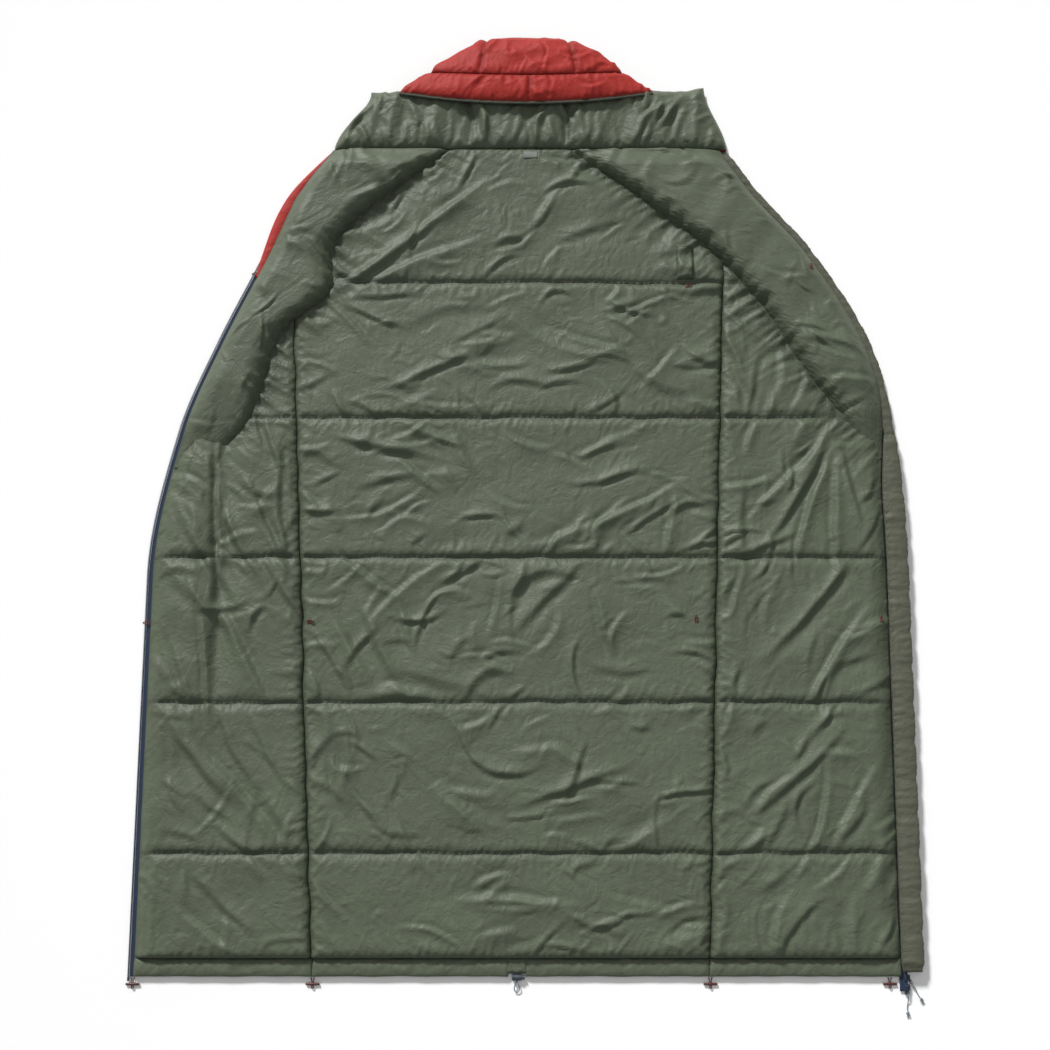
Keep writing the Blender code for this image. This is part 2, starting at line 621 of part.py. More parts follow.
# ---------------------------------------------------------------- hood
def hood_outline(inset):
    """The hood's lower layer: neck seam, collar corners, rim ends and crown."""
    neck, collar = BODY_LENGTH + GAP, BODY_LENGTH + COLLAR_RISE
    rim, top = BODY_LENGTH + RIM_RISE, BODY_LENGTH + HOOD_LENGTH
    left_neck = edge_x(LEFT, BODY_LENGTH, slab_inset(LEFT, BODY_LENGTH))
    right_neck = fold_x(RIGHT, BODY_LENGTH)
    return [(-left_neck + inset, neck + inset), (right_neck - inset, neck + inset),
            (COLLAR_RIGHT - inset, collar - inset), (RIM_RIGHT, rim - inset),
            (RIM_RIGHT * 0.74 - inset, rim + 0.036), (CROWN_RIGHT * 1.20 - inset, rim + 0.095),
            (CROWN_RIGHT - inset, top - inset), (-CROWN_LEFT + inset, top - inset),
            (-CROWN_LEFT * 1.20 + inset, rim + 0.095), (-RIM_LEFT * 0.74 + inset, rim + 0.036),
            (-RIM_LEFT, rim - inset), (-COLLAR_LEFT + inset, collar - inset)]


def hood_back(bag):
    """Shell, insulation and lining of the part of the hood that lies on the floor."""
    for layer, (heights, inset, finish) in LAYERS.items():
        outline("hood_" + layer, hood_outline(inset), *heights, finish, bag)


def hood_section(name, near, far, finish, bag, closed=False):
    """A stretch of the hood's upper layer: an arch over the head space, closed at the crown."""
    rim = BODY_LENGTH + RIM_RISE
    top = BODY_LENGTH + HOOD_LENGTH

    def half(side, y):
        """The upper layer's half width narrows from the rim to the crown."""
        wide, narrow = ((RIM_LEFT, CROWN_LEFT) if side == LEFT else (RIM_RIGHT, CROWN_RIGHT))
        return narrow + (wide - narrow) * (1 - (y - rim) / (top - rim)) ** 1.6

    ys = spread(near, far, 6)
    points = [(half(RIGHT, y), y) for y in ys] + [(-half(LEFT, y), y) for y in reversed(ys)]
    solid = outline("outline", points, SLAB_TOP + GAP, CROWN_TOP, finish, bag)
    end = far - CROWN_PAD if closed else far + 0.01
    ys = spread(near - 0.01, end, 6)
    inner = [(half(RIGHT, y) - CROWN_PAD, y) for y in ys]
    inner += [(-half(LEFT, y) + CROWN_PAD, y) for y in reversed(ys)]
    space = outline("space", inner, SLAB_TOP - 0.004, CROWN_TOP - CROWN_PAD, finish, bag)
    piece = as_mesh(name, solid, finish, bag)
    cut(piece, cutter(name + "_space", as_mesh("space_mesh", space, finish, bag), bag))
    bevel = piece.modifiers.new("soft edges", "BEVEL")
    bevel.width = 0.006
    bevel.segments = 1
    bevel.limit_method = "ANGLE"
    bevel.angle_limit = math.radians(60)


def as_mesh(name, piece, finish, bag):
    """A curve turned into a mesh with its caps welded on, in the curve's place."""
    graph = bpy.context.evaluated_depsgraph_get()
    graph.update()
    data = bpy.data.meshes.new_from_object(piece.evaluated_get(graph))
    work = bmesh.new()
    work.from_mesh(data)
    bmesh.ops.remove_doubles(work, verts=work.verts, dist=0.00001)
    bmesh.ops.recalc_face_normals(work, faces=work.faces)
    work.to_mesh(data)
    work.free()
    data.materials.clear()
    made = place(name, data, finish, bag)
    made.location = piece.location
    bpy.data.objects.remove(piece)
    return made


def hood_upper(bag):
    """Rim binding, brow band and crown, one behind the other."""
    rim = BODY_LENGTH + RIM_RISE
    binding = 0.005
    hood_section("hood_rim_binding", rim, rim + binding, "binding_grey", bag)
    hood_section("hood_brow_band", rim + binding + GAP, rim + BROW_DEPTH, "shell_red", bag)
    hood_section("hood_crown", rim + BROW_DEPTH + GAP, BODY_LENGTH + HOOD_LENGTH, "shell_red", bag,
                 closed=True)


# ---------------------------------------------------------------- the whole bag
def centre_on_floor(bag):
    """Moves the bag so that the middle of its footprint, without the loose pulls, is the origin."""
    bpy.context.view_layer.update()
    graph = bpy.context.evaluated_depsgraph_get()
    corners = []
    for obj in bag["parts"].objects:
        if "_pull_cord" in obj.name or "_pull_knot" in obj.name:
            continue
        seen = obj.evaluated_get(graph)
        corners += [seen.matrix_world @ Vector(corner) for corner in seen.bound_box]
    xs, ys = [c.x for c in corners], [c.y for c in corners]
    bag["origin"].location = (-(min(xs) + max(xs)) / 2, -(min(ys) + max(ys)) / 2, 0)


def main():
    clear_scene()
    bag = {"parts": new_collection("sleeping_bag"), "cutters": new_collection("cutters")}
    bag["cutters"].hide_render = True
    bag["origin"] = bpy.data.objects.new("hem_middle", None)
    bag["parts"].objects.link(bag["origin"])
    back_panel(bag)
    for side, word, start in ((LEFT, "left", BAND_START_LEFT), (RIGHT, "right", BAND_START_RIGHT)):
        front_panel(side, word, bag)
        shoulder_baffles(side, word, start, bag)
    foot_hem(bag)
    cord_lock(bag)
    hem_drawcord(bag)
    zip_chain(LEFT, "left", 0.0, meeting_y(LEFT, 0.0, 0.006), bag)
    zip_chain(RIGHT, "right", -ZIP_TAIL, meeting_y(RIGHT, 0.0, 0.006), bag)
    left_pin(bag)
    right_box(bag)
    slider("lower_slider", LOWER_SLIDER_Y, bag)
    slider("upper_slider", UPPER_SLIDER_Y, bag)
    pull("lower", LOWER_SLIDER_Y, 0.0, bag)
    pull("upper", UPPER_SLIDER_Y, UPPER_PULL_TURN, bag)
    draft_tube(bag)
    all_toggles(bag)
    all_loops(bag)
    small_trim(bag)
    hood_back(bag)
    hood_upper(bag)
    centre_on_floor(bag)


main()
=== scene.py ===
"""A hooded, quilted sleeping bag opened out flat with its lining up, in full detail.

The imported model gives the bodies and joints. Each soft piece here is a net of cloth that is
settled over its filling, pinned at its seams, and left a little too large between them.
Metres, +Z up, +Y from the foot hem to the hood.
"""

from __future__ import annotations

import logging
import math
from dataclasses import dataclass
from enum import Enum
from typing import Callable, Sequence

import bpy
import numpy as np
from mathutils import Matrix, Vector
from mathutils.bvhtree import BVHTree

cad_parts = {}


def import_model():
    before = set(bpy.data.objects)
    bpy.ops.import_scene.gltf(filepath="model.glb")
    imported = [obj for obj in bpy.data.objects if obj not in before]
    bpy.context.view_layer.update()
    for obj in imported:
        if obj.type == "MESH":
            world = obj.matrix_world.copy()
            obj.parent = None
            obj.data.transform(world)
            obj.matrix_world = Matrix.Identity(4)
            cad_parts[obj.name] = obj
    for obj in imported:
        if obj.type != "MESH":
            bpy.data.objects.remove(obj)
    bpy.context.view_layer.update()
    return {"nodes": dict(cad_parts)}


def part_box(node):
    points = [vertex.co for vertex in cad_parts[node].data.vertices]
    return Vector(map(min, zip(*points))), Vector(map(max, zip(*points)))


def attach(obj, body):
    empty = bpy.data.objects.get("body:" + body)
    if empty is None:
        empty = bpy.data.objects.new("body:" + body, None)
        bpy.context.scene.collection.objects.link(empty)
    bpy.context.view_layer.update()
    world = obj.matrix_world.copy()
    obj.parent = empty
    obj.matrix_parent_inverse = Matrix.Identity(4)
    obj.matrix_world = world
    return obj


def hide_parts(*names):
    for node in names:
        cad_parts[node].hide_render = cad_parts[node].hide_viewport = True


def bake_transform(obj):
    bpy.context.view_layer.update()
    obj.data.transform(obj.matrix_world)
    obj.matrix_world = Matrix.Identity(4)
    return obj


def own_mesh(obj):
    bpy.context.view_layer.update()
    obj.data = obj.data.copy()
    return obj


log = logging.getLogger("sleeping_bag")

# ---------------------------------------------------------------- driving dimensions
# The hem's edge is y = 0 and the body's centre line x = 0. A pair holds left, right. Metres.
BODY_LENGTH = 1.748            # hem edge to neck seam
STRAIGHT_LENGTH = 0.80         # straight run of each zip edge, up from the hem
HALF_WIDTH = (0.788, 0.797)    # centre line to each zip edge, at the widest
FOOT_TAPER = (0.001, 0.009)    # how much narrower each edge is at the hem
FOLD_HEM = (0.420, 0.364)      # each fold line at the hem
FOLD_NECK = (0.5185, 0.440)    # and at the neck
EDGE_STATIONS = (              # share of the body's length, then of each half width
    (0.637, 0.934, 0.982), (0.750, 0.839, 0.927), (0.866, 0.720, 0.783),
    (0.944, 0.645, 0.642), (1.000, 0.556, 0.557),
)
BAND_LEFT = (                  # share of the body's length, x of the shoulder baffle's inner edge
    (0.607, 0.640), (0.650, 0.575), (0.763, 0.507), (0.813, 0.412),
    (0.885, 0.393), (0.977, 0.210), (1.0, 0.150),
)
BAND_RIGHT = (
    (0.618, 0.700), (0.662, 0.651), (0.712, 0.590), (0.788, 0.508),
    (0.872, 0.382), (0.931, 0.252), (1.0, 0.090),
)
BAND_START = (1.06, 1.08)      # lower ends of the shoulder baffles
FABRIC = 0.0012                # thickness given to each nylon layer
GAP = 0.0003                   # clearance between touching pieces
HEM_DEPTH = 0.036
HEM_SEAM = 0.037               # where the lining is sewn to the hem
HEM_MOUTH, HEM_MOUTH_X = 0.034, -0.016            # its width and middle
QUILT_SEAMS = (0.238, 0.538, 0.838, 1.138, 1.438)
ZIP_TAPE = 0.009               # visible width of the zip tape
COIL_RADIUS, COIL_HEIGHT, TAPE_Z = 0.0023, 0.0045, 0.0038
CORD_RADIUS = 0.0011
ZIP_TAIL = 0.028               # length of zip that hangs past the hem on the right
DRAFT_TUBE_WIDTH = 0.044
DRAFT_TUBE_STOP, DRAFT_TUBE_FADE = 1.08, 0.14     # its upper end, and half the length it thins over
COLLAR_RISE, COLLAR_CORNER = 0.140, (0.341, 0.397)
RIM_END = (0.262, 0.280)       # ends of the hood's rim
CELL = 0.0046                  # size of a cloth net's cells
SHEET_CELL = 0.0068            # and of an outer shell sheet's
FOLD_BLEND = (0.015, 0.090)    # from the fold line out to where a front turns wholly


class Side(Enum):
    """A side of the bag, as the sign of its x."""

    LEFT = -1
    RIGHT = 1

    @property
    def index(self) -> int:
        """Place of this side in a (left, right) pair."""
        return 0 if self is Side.LEFT else 1

    @property
    def word(self) -> str:
        """The side's name in node names."""
        return self.name.lower()


# ---------------------------------------------------------------- pattern
@dataclass(frozen=True)
class Curve:
    """A smooth curve x(y) through knots, straight on beyond its ends."""

    ys: np.ndarray
    xs: np.ndarray
    slopes: np.ndarray

    @classmethod
    def through(cls, spots: Sequence[tuple[float, float]], first_slope: float | None = None) -> Curve:
        """A curve with the slope of its neighbours at each spot.

        Args:
            spots: (y, x) pairs, y rising.
            first_slope: slope at the first spot, if it isn't its neighbours'.

        Returns:
            The curve.
        """
        ys, xs = np.array(spots, float).T
        last = len(ys) - 1
        before, after = np.maximum(np.arange(last + 1) - 1, 0), np.minimum(np.arange(last + 1) + 1, last)
        slopes = (xs[after] - xs[before]) / (ys[after] - ys[before])
        if first_slope is not None:
            slopes[0] = first_slope
        return cls(ys, xs, slopes)

    def __call__(self, y: np.ndarray | float) -> np.ndarray:
        """x at each y, by cubic Hermite pieces.

        Args:
            y: one number or many.

        Returns:
            As many x.
        """
        y = np.asarray(y, float)
        i = np.clip(np.searchsorted(self.ys, y, side="left") - 1, 0, len(self.ys) - 2)
        h = self.ys[i + 1] - self.ys[i]
        t = np.clip((y - self.ys[i]) / h, 0.0, 1.0)
        inside = (self.xs[i] * (1 + 2 * t) * (1 - t) ** 2 + self.slopes[i] * h * t * (1 - t) ** 2
                  + self.xs[i + 1] * t * t * (3 - 2 * t) - self.slopes[i + 1] * h * t * t * (1 - t))
        return (inside + np.minimum(y - self.ys[0], 0) * self.slopes[0]
                + np.maximum(y - self.ys[-1], 0) * self.slopes[-1])


def smoothstep(low: float, high: float, value: np.ndarray) -> np.ndarray:
    """0 before low, 1 after high and an even S between them."""
    t = np.clip((np.asarray(value, float) - low) / (high - low), 0.0, 1.0)
    return t * t * (3 - 2 * t)


class Pattern:
    """The bag's outline, fold lines and baffle edges, as distances from the centre line."""

    def __init__(self) -> None:
        """Draws the edges and the baffles' inner edges."""
        self._edges, self._bands = {}, {}
        for side, band in ((Side.LEFT, BAND_LEFT), (Side.RIGHT, BAND_RIGHT)):
            half = HALF_WIDTH[side.index]
            spots = [(STRAIGHT_LENGTH, half)]
            spots += [(row[0] * BODY_LENGTH, row[1 + side.index] * half) for row in EDGE_STATIONS]
            self._edges[side] = Curve.through(spots, FOOT_TAPER[side.index] / STRAIGHT_LENGTH)
            self._bands[side] = Curve.through([(s * BODY_LENGTH, x) for s, x in band])

    def edge(self, side: Side, y: np.ndarray | float, inset: np.ndarray | float = 0.0) -> np.ndarray:
        """The outer edge at y, in from it by inset square to the edge.

        Args:
            side: which edge.
            y: along the bag.
            inset: how far in.

        Returns:
            Distance from the centre line.
        """
        curve = self._edges[side]
        y = np.asarray(y, float)
        slope = (curve(y + 0.001) - curve(y - 0.001)) / 0.002
        return curve(y) - inset * np.hypot(1, slope)

    def fold(self, side: Side, y: np.ndarray | float) -> np.ndarray:
        """The side seam, which is also the line that the front turns on."""
        hem, neck = FOLD_HEM[side.index], FOLD_NECK[side.index]
        return hem + (neck - hem) * np.asarray(y, float) / BODY_LENGTH

    def band(self, side: Side, y: np.ndarray | float) -> np.ndarray:
        """The inner edge of the shoulder baffle."""
        return self._bands[side](y)

    def slab_inset(self, side: Side, y: np.ndarray | float) -> np.ndarray:
        """From the outer edge in to the quilted panel.

        Args:
            side: which edge.
            y: along the bag.

        Returns:
            The width that the zip or the draft tube takes.
        """
        zip_width = ZIP_TAPE + 2 * COIL_RADIUS
        if side is Side.LEFT:
            return np.full(np.shape(y), zip_width)
        fade = smoothstep(DRAFT_TUBE_STOP - DRAFT_TUBE_FADE, DRAFT_TUBE_STOP + DRAFT_TUBE_FADE, y)
        return DRAFT_TUBE_WIDTH + (zip_width - DRAFT_TUBE_WIDTH) * fade

    def panel_edge(self, side: Side, y: np.ndarray | float, inset: float = 0.0) -> np.ndarray:
        """The outer edge of the quilted panel."""
        return self.edge(side, y, self.slab_inset(side, y) + inset)

    def under_band(self, side: Side, x: np.ndarray, y: np.ndarray) -> np.ndarray:
        """How far a place is under the shoulder baffle, 0 to 1.

        Args:
            side: the baffle's side.
            x, y: where, in the pattern.

        Returns:
            0 beside it to 1 under it.
        """
        away = side.value * np.asarray(x) - self.band(side, y)
        start = BAND_START[side.index]
        return smoothstep(-0.004, 0.020, away) * smoothstep(start - 0.01, start + 0.11, y)

    def gathers(self, side: Side, x: np.ndarray, y: np.ndarray) -> np.ndarray:
        """Folds drawn out of a shoulder baffle's inner seam.

        Args:
            side: the baffle's side.
            x, y: where, in the pattern.

        Returns:
            0 in a hollow to 1 on a ridge.
        """
        along = 0.8 * y - 0.6 * side.value * x
        away = self.band(side, np.clip(y, BAND_START[side.index], None)) - side.value * x
        noise = Noise(401 + side.index)
        turned = along + 0.30 * away * noise(along / 0.12, away * 0)
        wide = 1 - np.abs(noise(turned / 0.036, away / 0.30))
        fine = 1 - np.abs(noise(turned / 0.015 + 7, away / 0.12))
        return 0.72 * wide ** 2 + 0.28 * fine ** 2

    def panel_rows(self, side: Side | None, cell: float) -> tuple[np.ndarray, np.ndarray, np.ndarray]:
        """The rows of a panel's net.

        Args:
            side: the front's side, or None for the back panel.
            cell: about how far apart the rows are.

        Returns:
            y of each row, and x of its left and right ends.
        """
        stop = BODY_LENGTH - GAP if side is None else self.meeting(side, 0.0, 0.010)
        ys = segments([HEM_DEPTH + GAP, *(s for s in QUILT_SEAMS if s < stop - 0.05), stop], cell)
        if side is None:
            low = -np.minimum(self.fold(Side.LEFT, ys), self.panel_edge(Side.LEFT, ys)) + GAP
            high = np.minimum(self.fold(Side.RIGHT, ys), self.panel_edge(Side.RIGHT, ys)) - GAP
        else:
            inner, outer = self.fold(side, ys) + GAP, self.panel_edge(side, ys)
            low, high = (-outer, -inner) if side is Side.LEFT else (inner, outer)
        return ys, low, high

    def to_seams(self, side: Side | None, xs: np.ndarray, ys: np.ndarray) -> tuple[np.ndarray, np.ndarray]:
        """Distance from each place in a panel to its nearest cross seam and side seam.

        Args:
            side: the front's side, or None for the back panel.
            xs, ys: where, in the pattern.

        Returns:
            Both distances.
        """
        to_quilt = np.abs(ys[..., None] - np.array([HEM_SEAM, *QUILT_SEAMS, BODY_LENGTH])).min(-1)
        folds = [np.abs(each.value * xs - self.fold(each, ys)) for each in Side]
        return to_quilt, np.minimum(*folds) if side is None else folds[side.index]

    def meeting(self, side: Side, inset: float, width: float) -> float:
        """The y at which the fold line comes to width from the panel's edge.

        Args:
            side: which side.
            inset: in from the panel's edge.
            width: the room left between them.

        Returns:
            The y.
        """
        ys = np.linspace(STRAIGHT_LENGTH, BODY_LENGTH, 4001)
        room = self.panel_edge(side, ys, inset) - self.fold(side, ys)
        return float(ys[np.argmax(room <= width)])


# ---------------------------------------------------------------- noise
class Noise:
    """Smooth gradient noise on a plane, the same for the same seed."""

    def __init__(self, seed: int) -> None:
        """Draws the slopes at the plane's whole numbers."""
        draw = np.random.RandomState(seed)
        self._order = np.tile(draw.permutation(512), 2)
        angle = draw.uniform(0, 2 * math.pi, 512)
        self._ways = np.stack([np.cos(angle), np.sin(angle)], -1)

    def __call__(self, u: np.ndarray, v: np.ndarray) -> np.ndarray:
        """Noise with a grain of one unit: the slopes at a cell's corners, faded into each other.

        Args:
            u, v: where.

        Returns:
            Noise of about -1 to 1.
        """
        iu, iv = np.floor(u).astype(int), np.floor(v).astype(int)
        fu, fv = u - iu, v - iv
        su, sv = fu * fu * fu * (fu * (fu * 6 - 15) + 10), fv * fv * fv * (fv * (fv * 6 - 15) + 10)

        def corner(a: int, b: int) -> np.ndarray:
            """The slope at one corner times the way from it."""
            way = self._ways[self._order[self._order[(iu + a) % 512] + (iv + b) % 512]]
            return way[..., 0] * (fu - a) + way[..., 1] * (fv - b)
        low = corner(0, 0) * (1 - su) + corner(1, 0) * su
        high = corner(0, 1) * (1 - su) + corner(1, 1) * su
        return 1.5 * (low * (1 - sv) + high * sv)

    def folds(self, x: np.ndarray, y: np.ndarray, angle: float, width: float, run: float) -> np.ndarray:
        """Noise drawn out into long folds.

        Args:
            x, y: where, in metres.
            angle: direction that the folds run in, in degrees from +x.
            width: distance between folds.
            run: length of a fold.

        Returns:
            Noise of about -1 to 1.
        """
        c, s = math.cos(math.radians(angle)), math.sin(math.radians(angle))
        bend = 0.25 * width * self(x / run + 7.3, y / run)
        return self((-s * x + c * y + bend) / width, (c * x + s * y) / run)


@dataclass(frozen=True)
class Fold:
    """One curved ridge, steeper on one side, that fades at its ends; lengths in metres.

    Attributes:
        x, y: its middle, in the pattern.
        heading: its direction, in radians from +x.
        length, width, height: its size.
        curl: its curvature, in 1/m.
        steep: width of its steep side as a share of the other.
        flip: -1 puts the steep side on the other side.
    """

    x: float
    y: float
    heading: float
    length: float
    width: float
    height: float
    curl: float = 0.0
    steep: float = 0.55
    flip: int = 1

    def add_to(self, total: np.ndarray, xs: np.ndarray, ys: np.ndarray) -> None:
        """Adds its height: a bell across it with a dip on its steep side, fading to both ends.

        Args:
            total: rows x columns, changed in place.
            xs, ys: the net's places; its rows run along x.
        """
        reach = 0.5 * self.length + 3 * self.width
        rows = np.abs(ys.mean(1) - self.y) < reach
        if not rows.any():
            return
        columns = (xs[rows].max(0) > self.x - reach) & (xs[rows].min(0) < self.x + reach)
        if not columns.any():
            return
        window = np.ix_(rows, columns)
        c, s = math.cos(self.heading), math.sin(self.heading)
        dx, dy = xs[window] - self.x, ys[window] - self.y
        run = c * dx + s * dy
        off = self.flip * (-s * dx + c * dy) - 0.5 * self.curl * run * run
        fade = np.clip(1 - (2 * run / self.length) ** 2, 0, None) ** 1.3
        side = np.where(off > 0, self.width, self.width * self.steep)
        ridge = np.exp(-np.abs(off / side) ** 1.4)
        dip = 0.5 * np.exp(-((off + 1.6 * self.width * self.steep) / (1.1 * self.width * self.steep)) ** 2)
        total[window] += self.height * fade * (ridge - dip)


def ray(x: float, y: float, degrees: float, start: float, length: float, width: float,
        height: float, curl: float = 0.0, flip: int = 1) -> Fold:
    """A fold that runs away from a point, from start to start + length along a direction.

    Args:
        x, y: the point.
        degrees: the direction, from +x.
        start: from the point to where the fold begins.
        length, width, height, curl, flip: the fold's own.

    Returns:
        The fold.
    """
    way = math.radians(degrees)
    middle = start + length / 2
    return Fold(x + middle * math.cos(way), y + middle * math.sin(way), way, length, width, height,
                curl, 0.5, flip)


@dataclass(frozen=True)
class Creases:
    """Single folds strewn over a cloth.

    Attributes:
        seed: for their places.
        density: folds to the square metre.
        length, width, height: (least, most) of each, in metres.
        spread: how far a fold's direction may stray, in radians.
    """

    seed: int
    density: float
    length: tuple[float, float] = (0.05, 0.16)
    width: tuple[float, float] = (0.006, 0.015)
    height: tuple[float, float] = (0.0025, 0.0065)
    spread: float = 0.5

    def over(self, xs: np.ndarray, ys: np.ndarray, angle: Callable | float) -> np.ndarray:
        """Height of the folds.

        Args:
            xs, ys: rows x columns, places in the cloth's plane; rows run along x.
            angle: direction of the folds in radians from +x, a number or a function of x and y.

        Returns:
            rows x columns.
        """
        draw = np.random.RandomState(self.seed)
        total = np.zeros_like(xs)
        low, high = (xs.min(), ys.min()), (xs.max(), ys.max())
        for _ in range(round(self.density * (high[0] - low[0]) * (high[1] - low[1]))):
            x, y = draw.uniform(low, high)
            length, width, height = (draw.uniform(*span) for span in (self.length, self.width, self.height))
            heading = (angle(x, y) if callable(angle) else angle) + draw.normal(0, self.spread)
            Fold(x, y, heading, length, width, height * min(1.0, 0.45 + length / 0.16),
                 draw.normal(0, 0.9) / length, draw.uniform(0.35, 0.8), int(draw.choice((-1, 1)))
                 ).add_to(total, xs, ys)
        return total


# ---------------------------------------------------------------- cloth
@dataclass
class Cloth:
    """A net of cloth over a stuffed shape, which settles by position-based dynamics.

    Attributes:
        base: rows x columns x 3, the shape of the filling.
        pinned: rows x columns, true on the seams.
        across: share of extra cloth along each row.
        along: share of extra cloth along each column.
        lift: first offset from the filling along its normals.
        bend: resistance to a tight bend, 0 to 1.
        slack: how strongly cloth that stands off the filling is drawn back to it.
        firm: how strongly cloth that sinks into the filling is pushed out.
        most: furthest that the cloth may stand off the filling.
    """

    base: np.ndarray
    pinned: np.ndarray
    across: np.ndarray
    along: np.ndarray
    lift: np.ndarray
    bend: float = 0.45
    slack: float = 0.004
    firm: float = 0.22
    most: float = 0.012

    def fold(self, coarse: int, fine: int) -> np.ndarray:
        """Lets the cloth find its long folds on every other thread, then its small ones on all.

        Args:
            coarse: time steps on every other thread.
            fine: time steps on all.

        Returns:
            rows x columns x 3, the settled cloth.
        """
        half = (slice(None, None, 2), slice(None, None, 2))
        wide = Cloth(self.base[half], self.pinned[half], self.across[half], self.along[half],
                     self.lift[half], self.bend, self.slack, self.firm, self.most)
        moved = wide.settle(coarse) - wide.base
        rows, columns = self.pinned.shape
        full = np.zeros_like(self.base)
        full[half] = moved
        full[1::2] = (full[0:rows - 1:2] + full[2:rows:2]) / 2
        full[:, 1::2] = (full[:, 0:columns - 1:2] + full[:, 2:columns:2]) / 2
        full += grid_normals(self.base) * (0.25 * self.lift)[..., None]
        return self.settle(fine, full)

    def settle(self, steps: int, moved: np.ndarray | None = None) -> np.ndarray:
        """Lets the cloth find its folds.

        Args:
            steps: number of time steps.
            moved: offset that it starts from, in place of the lift.

        Returns:
            rows x columns x 3, the settled cloth.
        """
        base = np.ascontiguousarray(np.moveaxis(self.base, -1, 0), np.float32)
        normal = np.ascontiguousarray(np.moveaxis(grid_normals(self.base), -1, 0), np.float32)
        free = (~self.pinned).astype(np.float32)
        if moved is None:
            now = base + normal * (self.lift * free).astype(np.float32)
        else:
            now = base + np.moveaxis(moved, -1, 0).astype(np.float32) * free
        pairs = self._pairs(base, free)
        before = now.copy()
        for _ in range(steps):
            moved = (now - before) * 0.88
            np.copyto(before, now)
            now += moved * free
            for a, b, length, wa, wb, stiffness in pairs:
                one, two = now[(slice(None), *a)], now[(slice(None), *b)]
                gap = two - one
                size = np.sqrt((gap * gap).sum(0)) + 1e-9
                gap *= stiffness * (size - length) / size
                one += gap * wa
                two -= gap * wb
            off = ((now - base) * normal).sum(0)
            pull = np.where(off < 0, self.firm, self.slack + 0.25 * (off > self.most)).astype(np.float32)
            now -= normal * (off * pull * free)
            now += (base - now) * (0.0015 * free)
        return np.moveaxis(now, 0, -1).astype(float)

    def _pairs(self, base: np.ndarray, free: np.ndarray) -> list[tuple]:
        """The net's threads in groups that share no point.

        Args:
            base: 3 x rows x columns, the filling.
            free: rows x columns, 0 where the net is pinned.

        Returns:
            For each group: slices of both ends, rest lengths, both weights, and stiffness.
        """
        made = []
        every = slice(None)

        def add(a: tuple, b: tuple, share: np.ndarray, stiffness: float) -> None:
            """Adds the threads from slice a to slice b, with a share of extra length."""
            gap = base[(every, *b)] - base[(every, *a)]
            length = np.sqrt((gap * gap).sum(0)) * (1 + 0.5 * (share[a] + share[b]))
            total = np.maximum(free[a] + free[b], 1e-6)
            made.append((a, b, length.astype(np.float32), free[a] / total, free[b] / total, stiffness))

        rows, columns = free.shape
        across, along = np.asarray(self.across), np.asarray(self.along)
        for start in (0, 1):
            stop = columns - 1 - (columns - 1 - start) % 2
            add((every, slice(start, stop, 2)), (every, slice(start + 1, stop + 1, 2)), across, 1.0)
            stop = rows - 1 - (rows - 1 - start) % 2
            add((slice(start, stop, 2), every), (slice(start + 1, stop + 1, 2), every), along, 1.0)
        lu = np.zeros_like(free)
        lv = np.zeros_like(free)
        lu[:, 1:] = np.linalg.norm(base[:, :, 1:] - base[:, :, :-1], axis=0)
        lu[:, 0] = lu[:, 1]
        lv[1:] = np.linalg.norm(base[:, 1:] - base[:, :-1], axis=0)
        lv[0] = lv[1]
        slant = (across * lu ** 2 + along * lv ** 2) / (lu ** 2 + lv ** 2)
        for start in (0, 1):
            stop = rows - 1 - (rows - 1 - start) % 2
            upper = (slice(start, stop, 2), slice(start + 1, stop + 1, 2))
            add((upper[0], slice(0, -1)), (upper[1], slice(1, None)), slant, 0.45)
            add((upper[0], slice(1, None)), (upper[1], slice(0, -1)), slant, 0.45)
        for start in range(4):
            count = (columns - 2 - start + 3) // 4
            if count > 0:
                a, b = slice(start, start + 4 * count, 4), slice(start + 2, start + 2 + 4 * count, 4)
                add((every, a), (every, slice(b.start, min(b.stop, columns), 4)), across, self.bend)
            count = (rows - 2 - start + 3) // 4
            if count > 0:
                a, b = slice(start, start + 4 * count, 4), slice(start + 2, start + 2 + 4 * count, 4)
                add((a, every), (slice(b.start, min(b.stop, rows), 4), every), along, self.bend)
        return [pair for pair in made if pair[2].size]


def grid_normals(points: np.ndarray) -> np.ndarray:
    """Unit normals of a net, to the left of its rows seen along its columns.

    Args:
        points: rows x columns x 3.

    Returns:
        The same size.
    """
    du = np.gradient(points, axis=1)
    dv = np.gradient(points, axis=0)
    normal = np.cross(du, dv)
    return normal / (np.linalg.norm(normal, axis=-1, keepdims=True) + 1e-12)


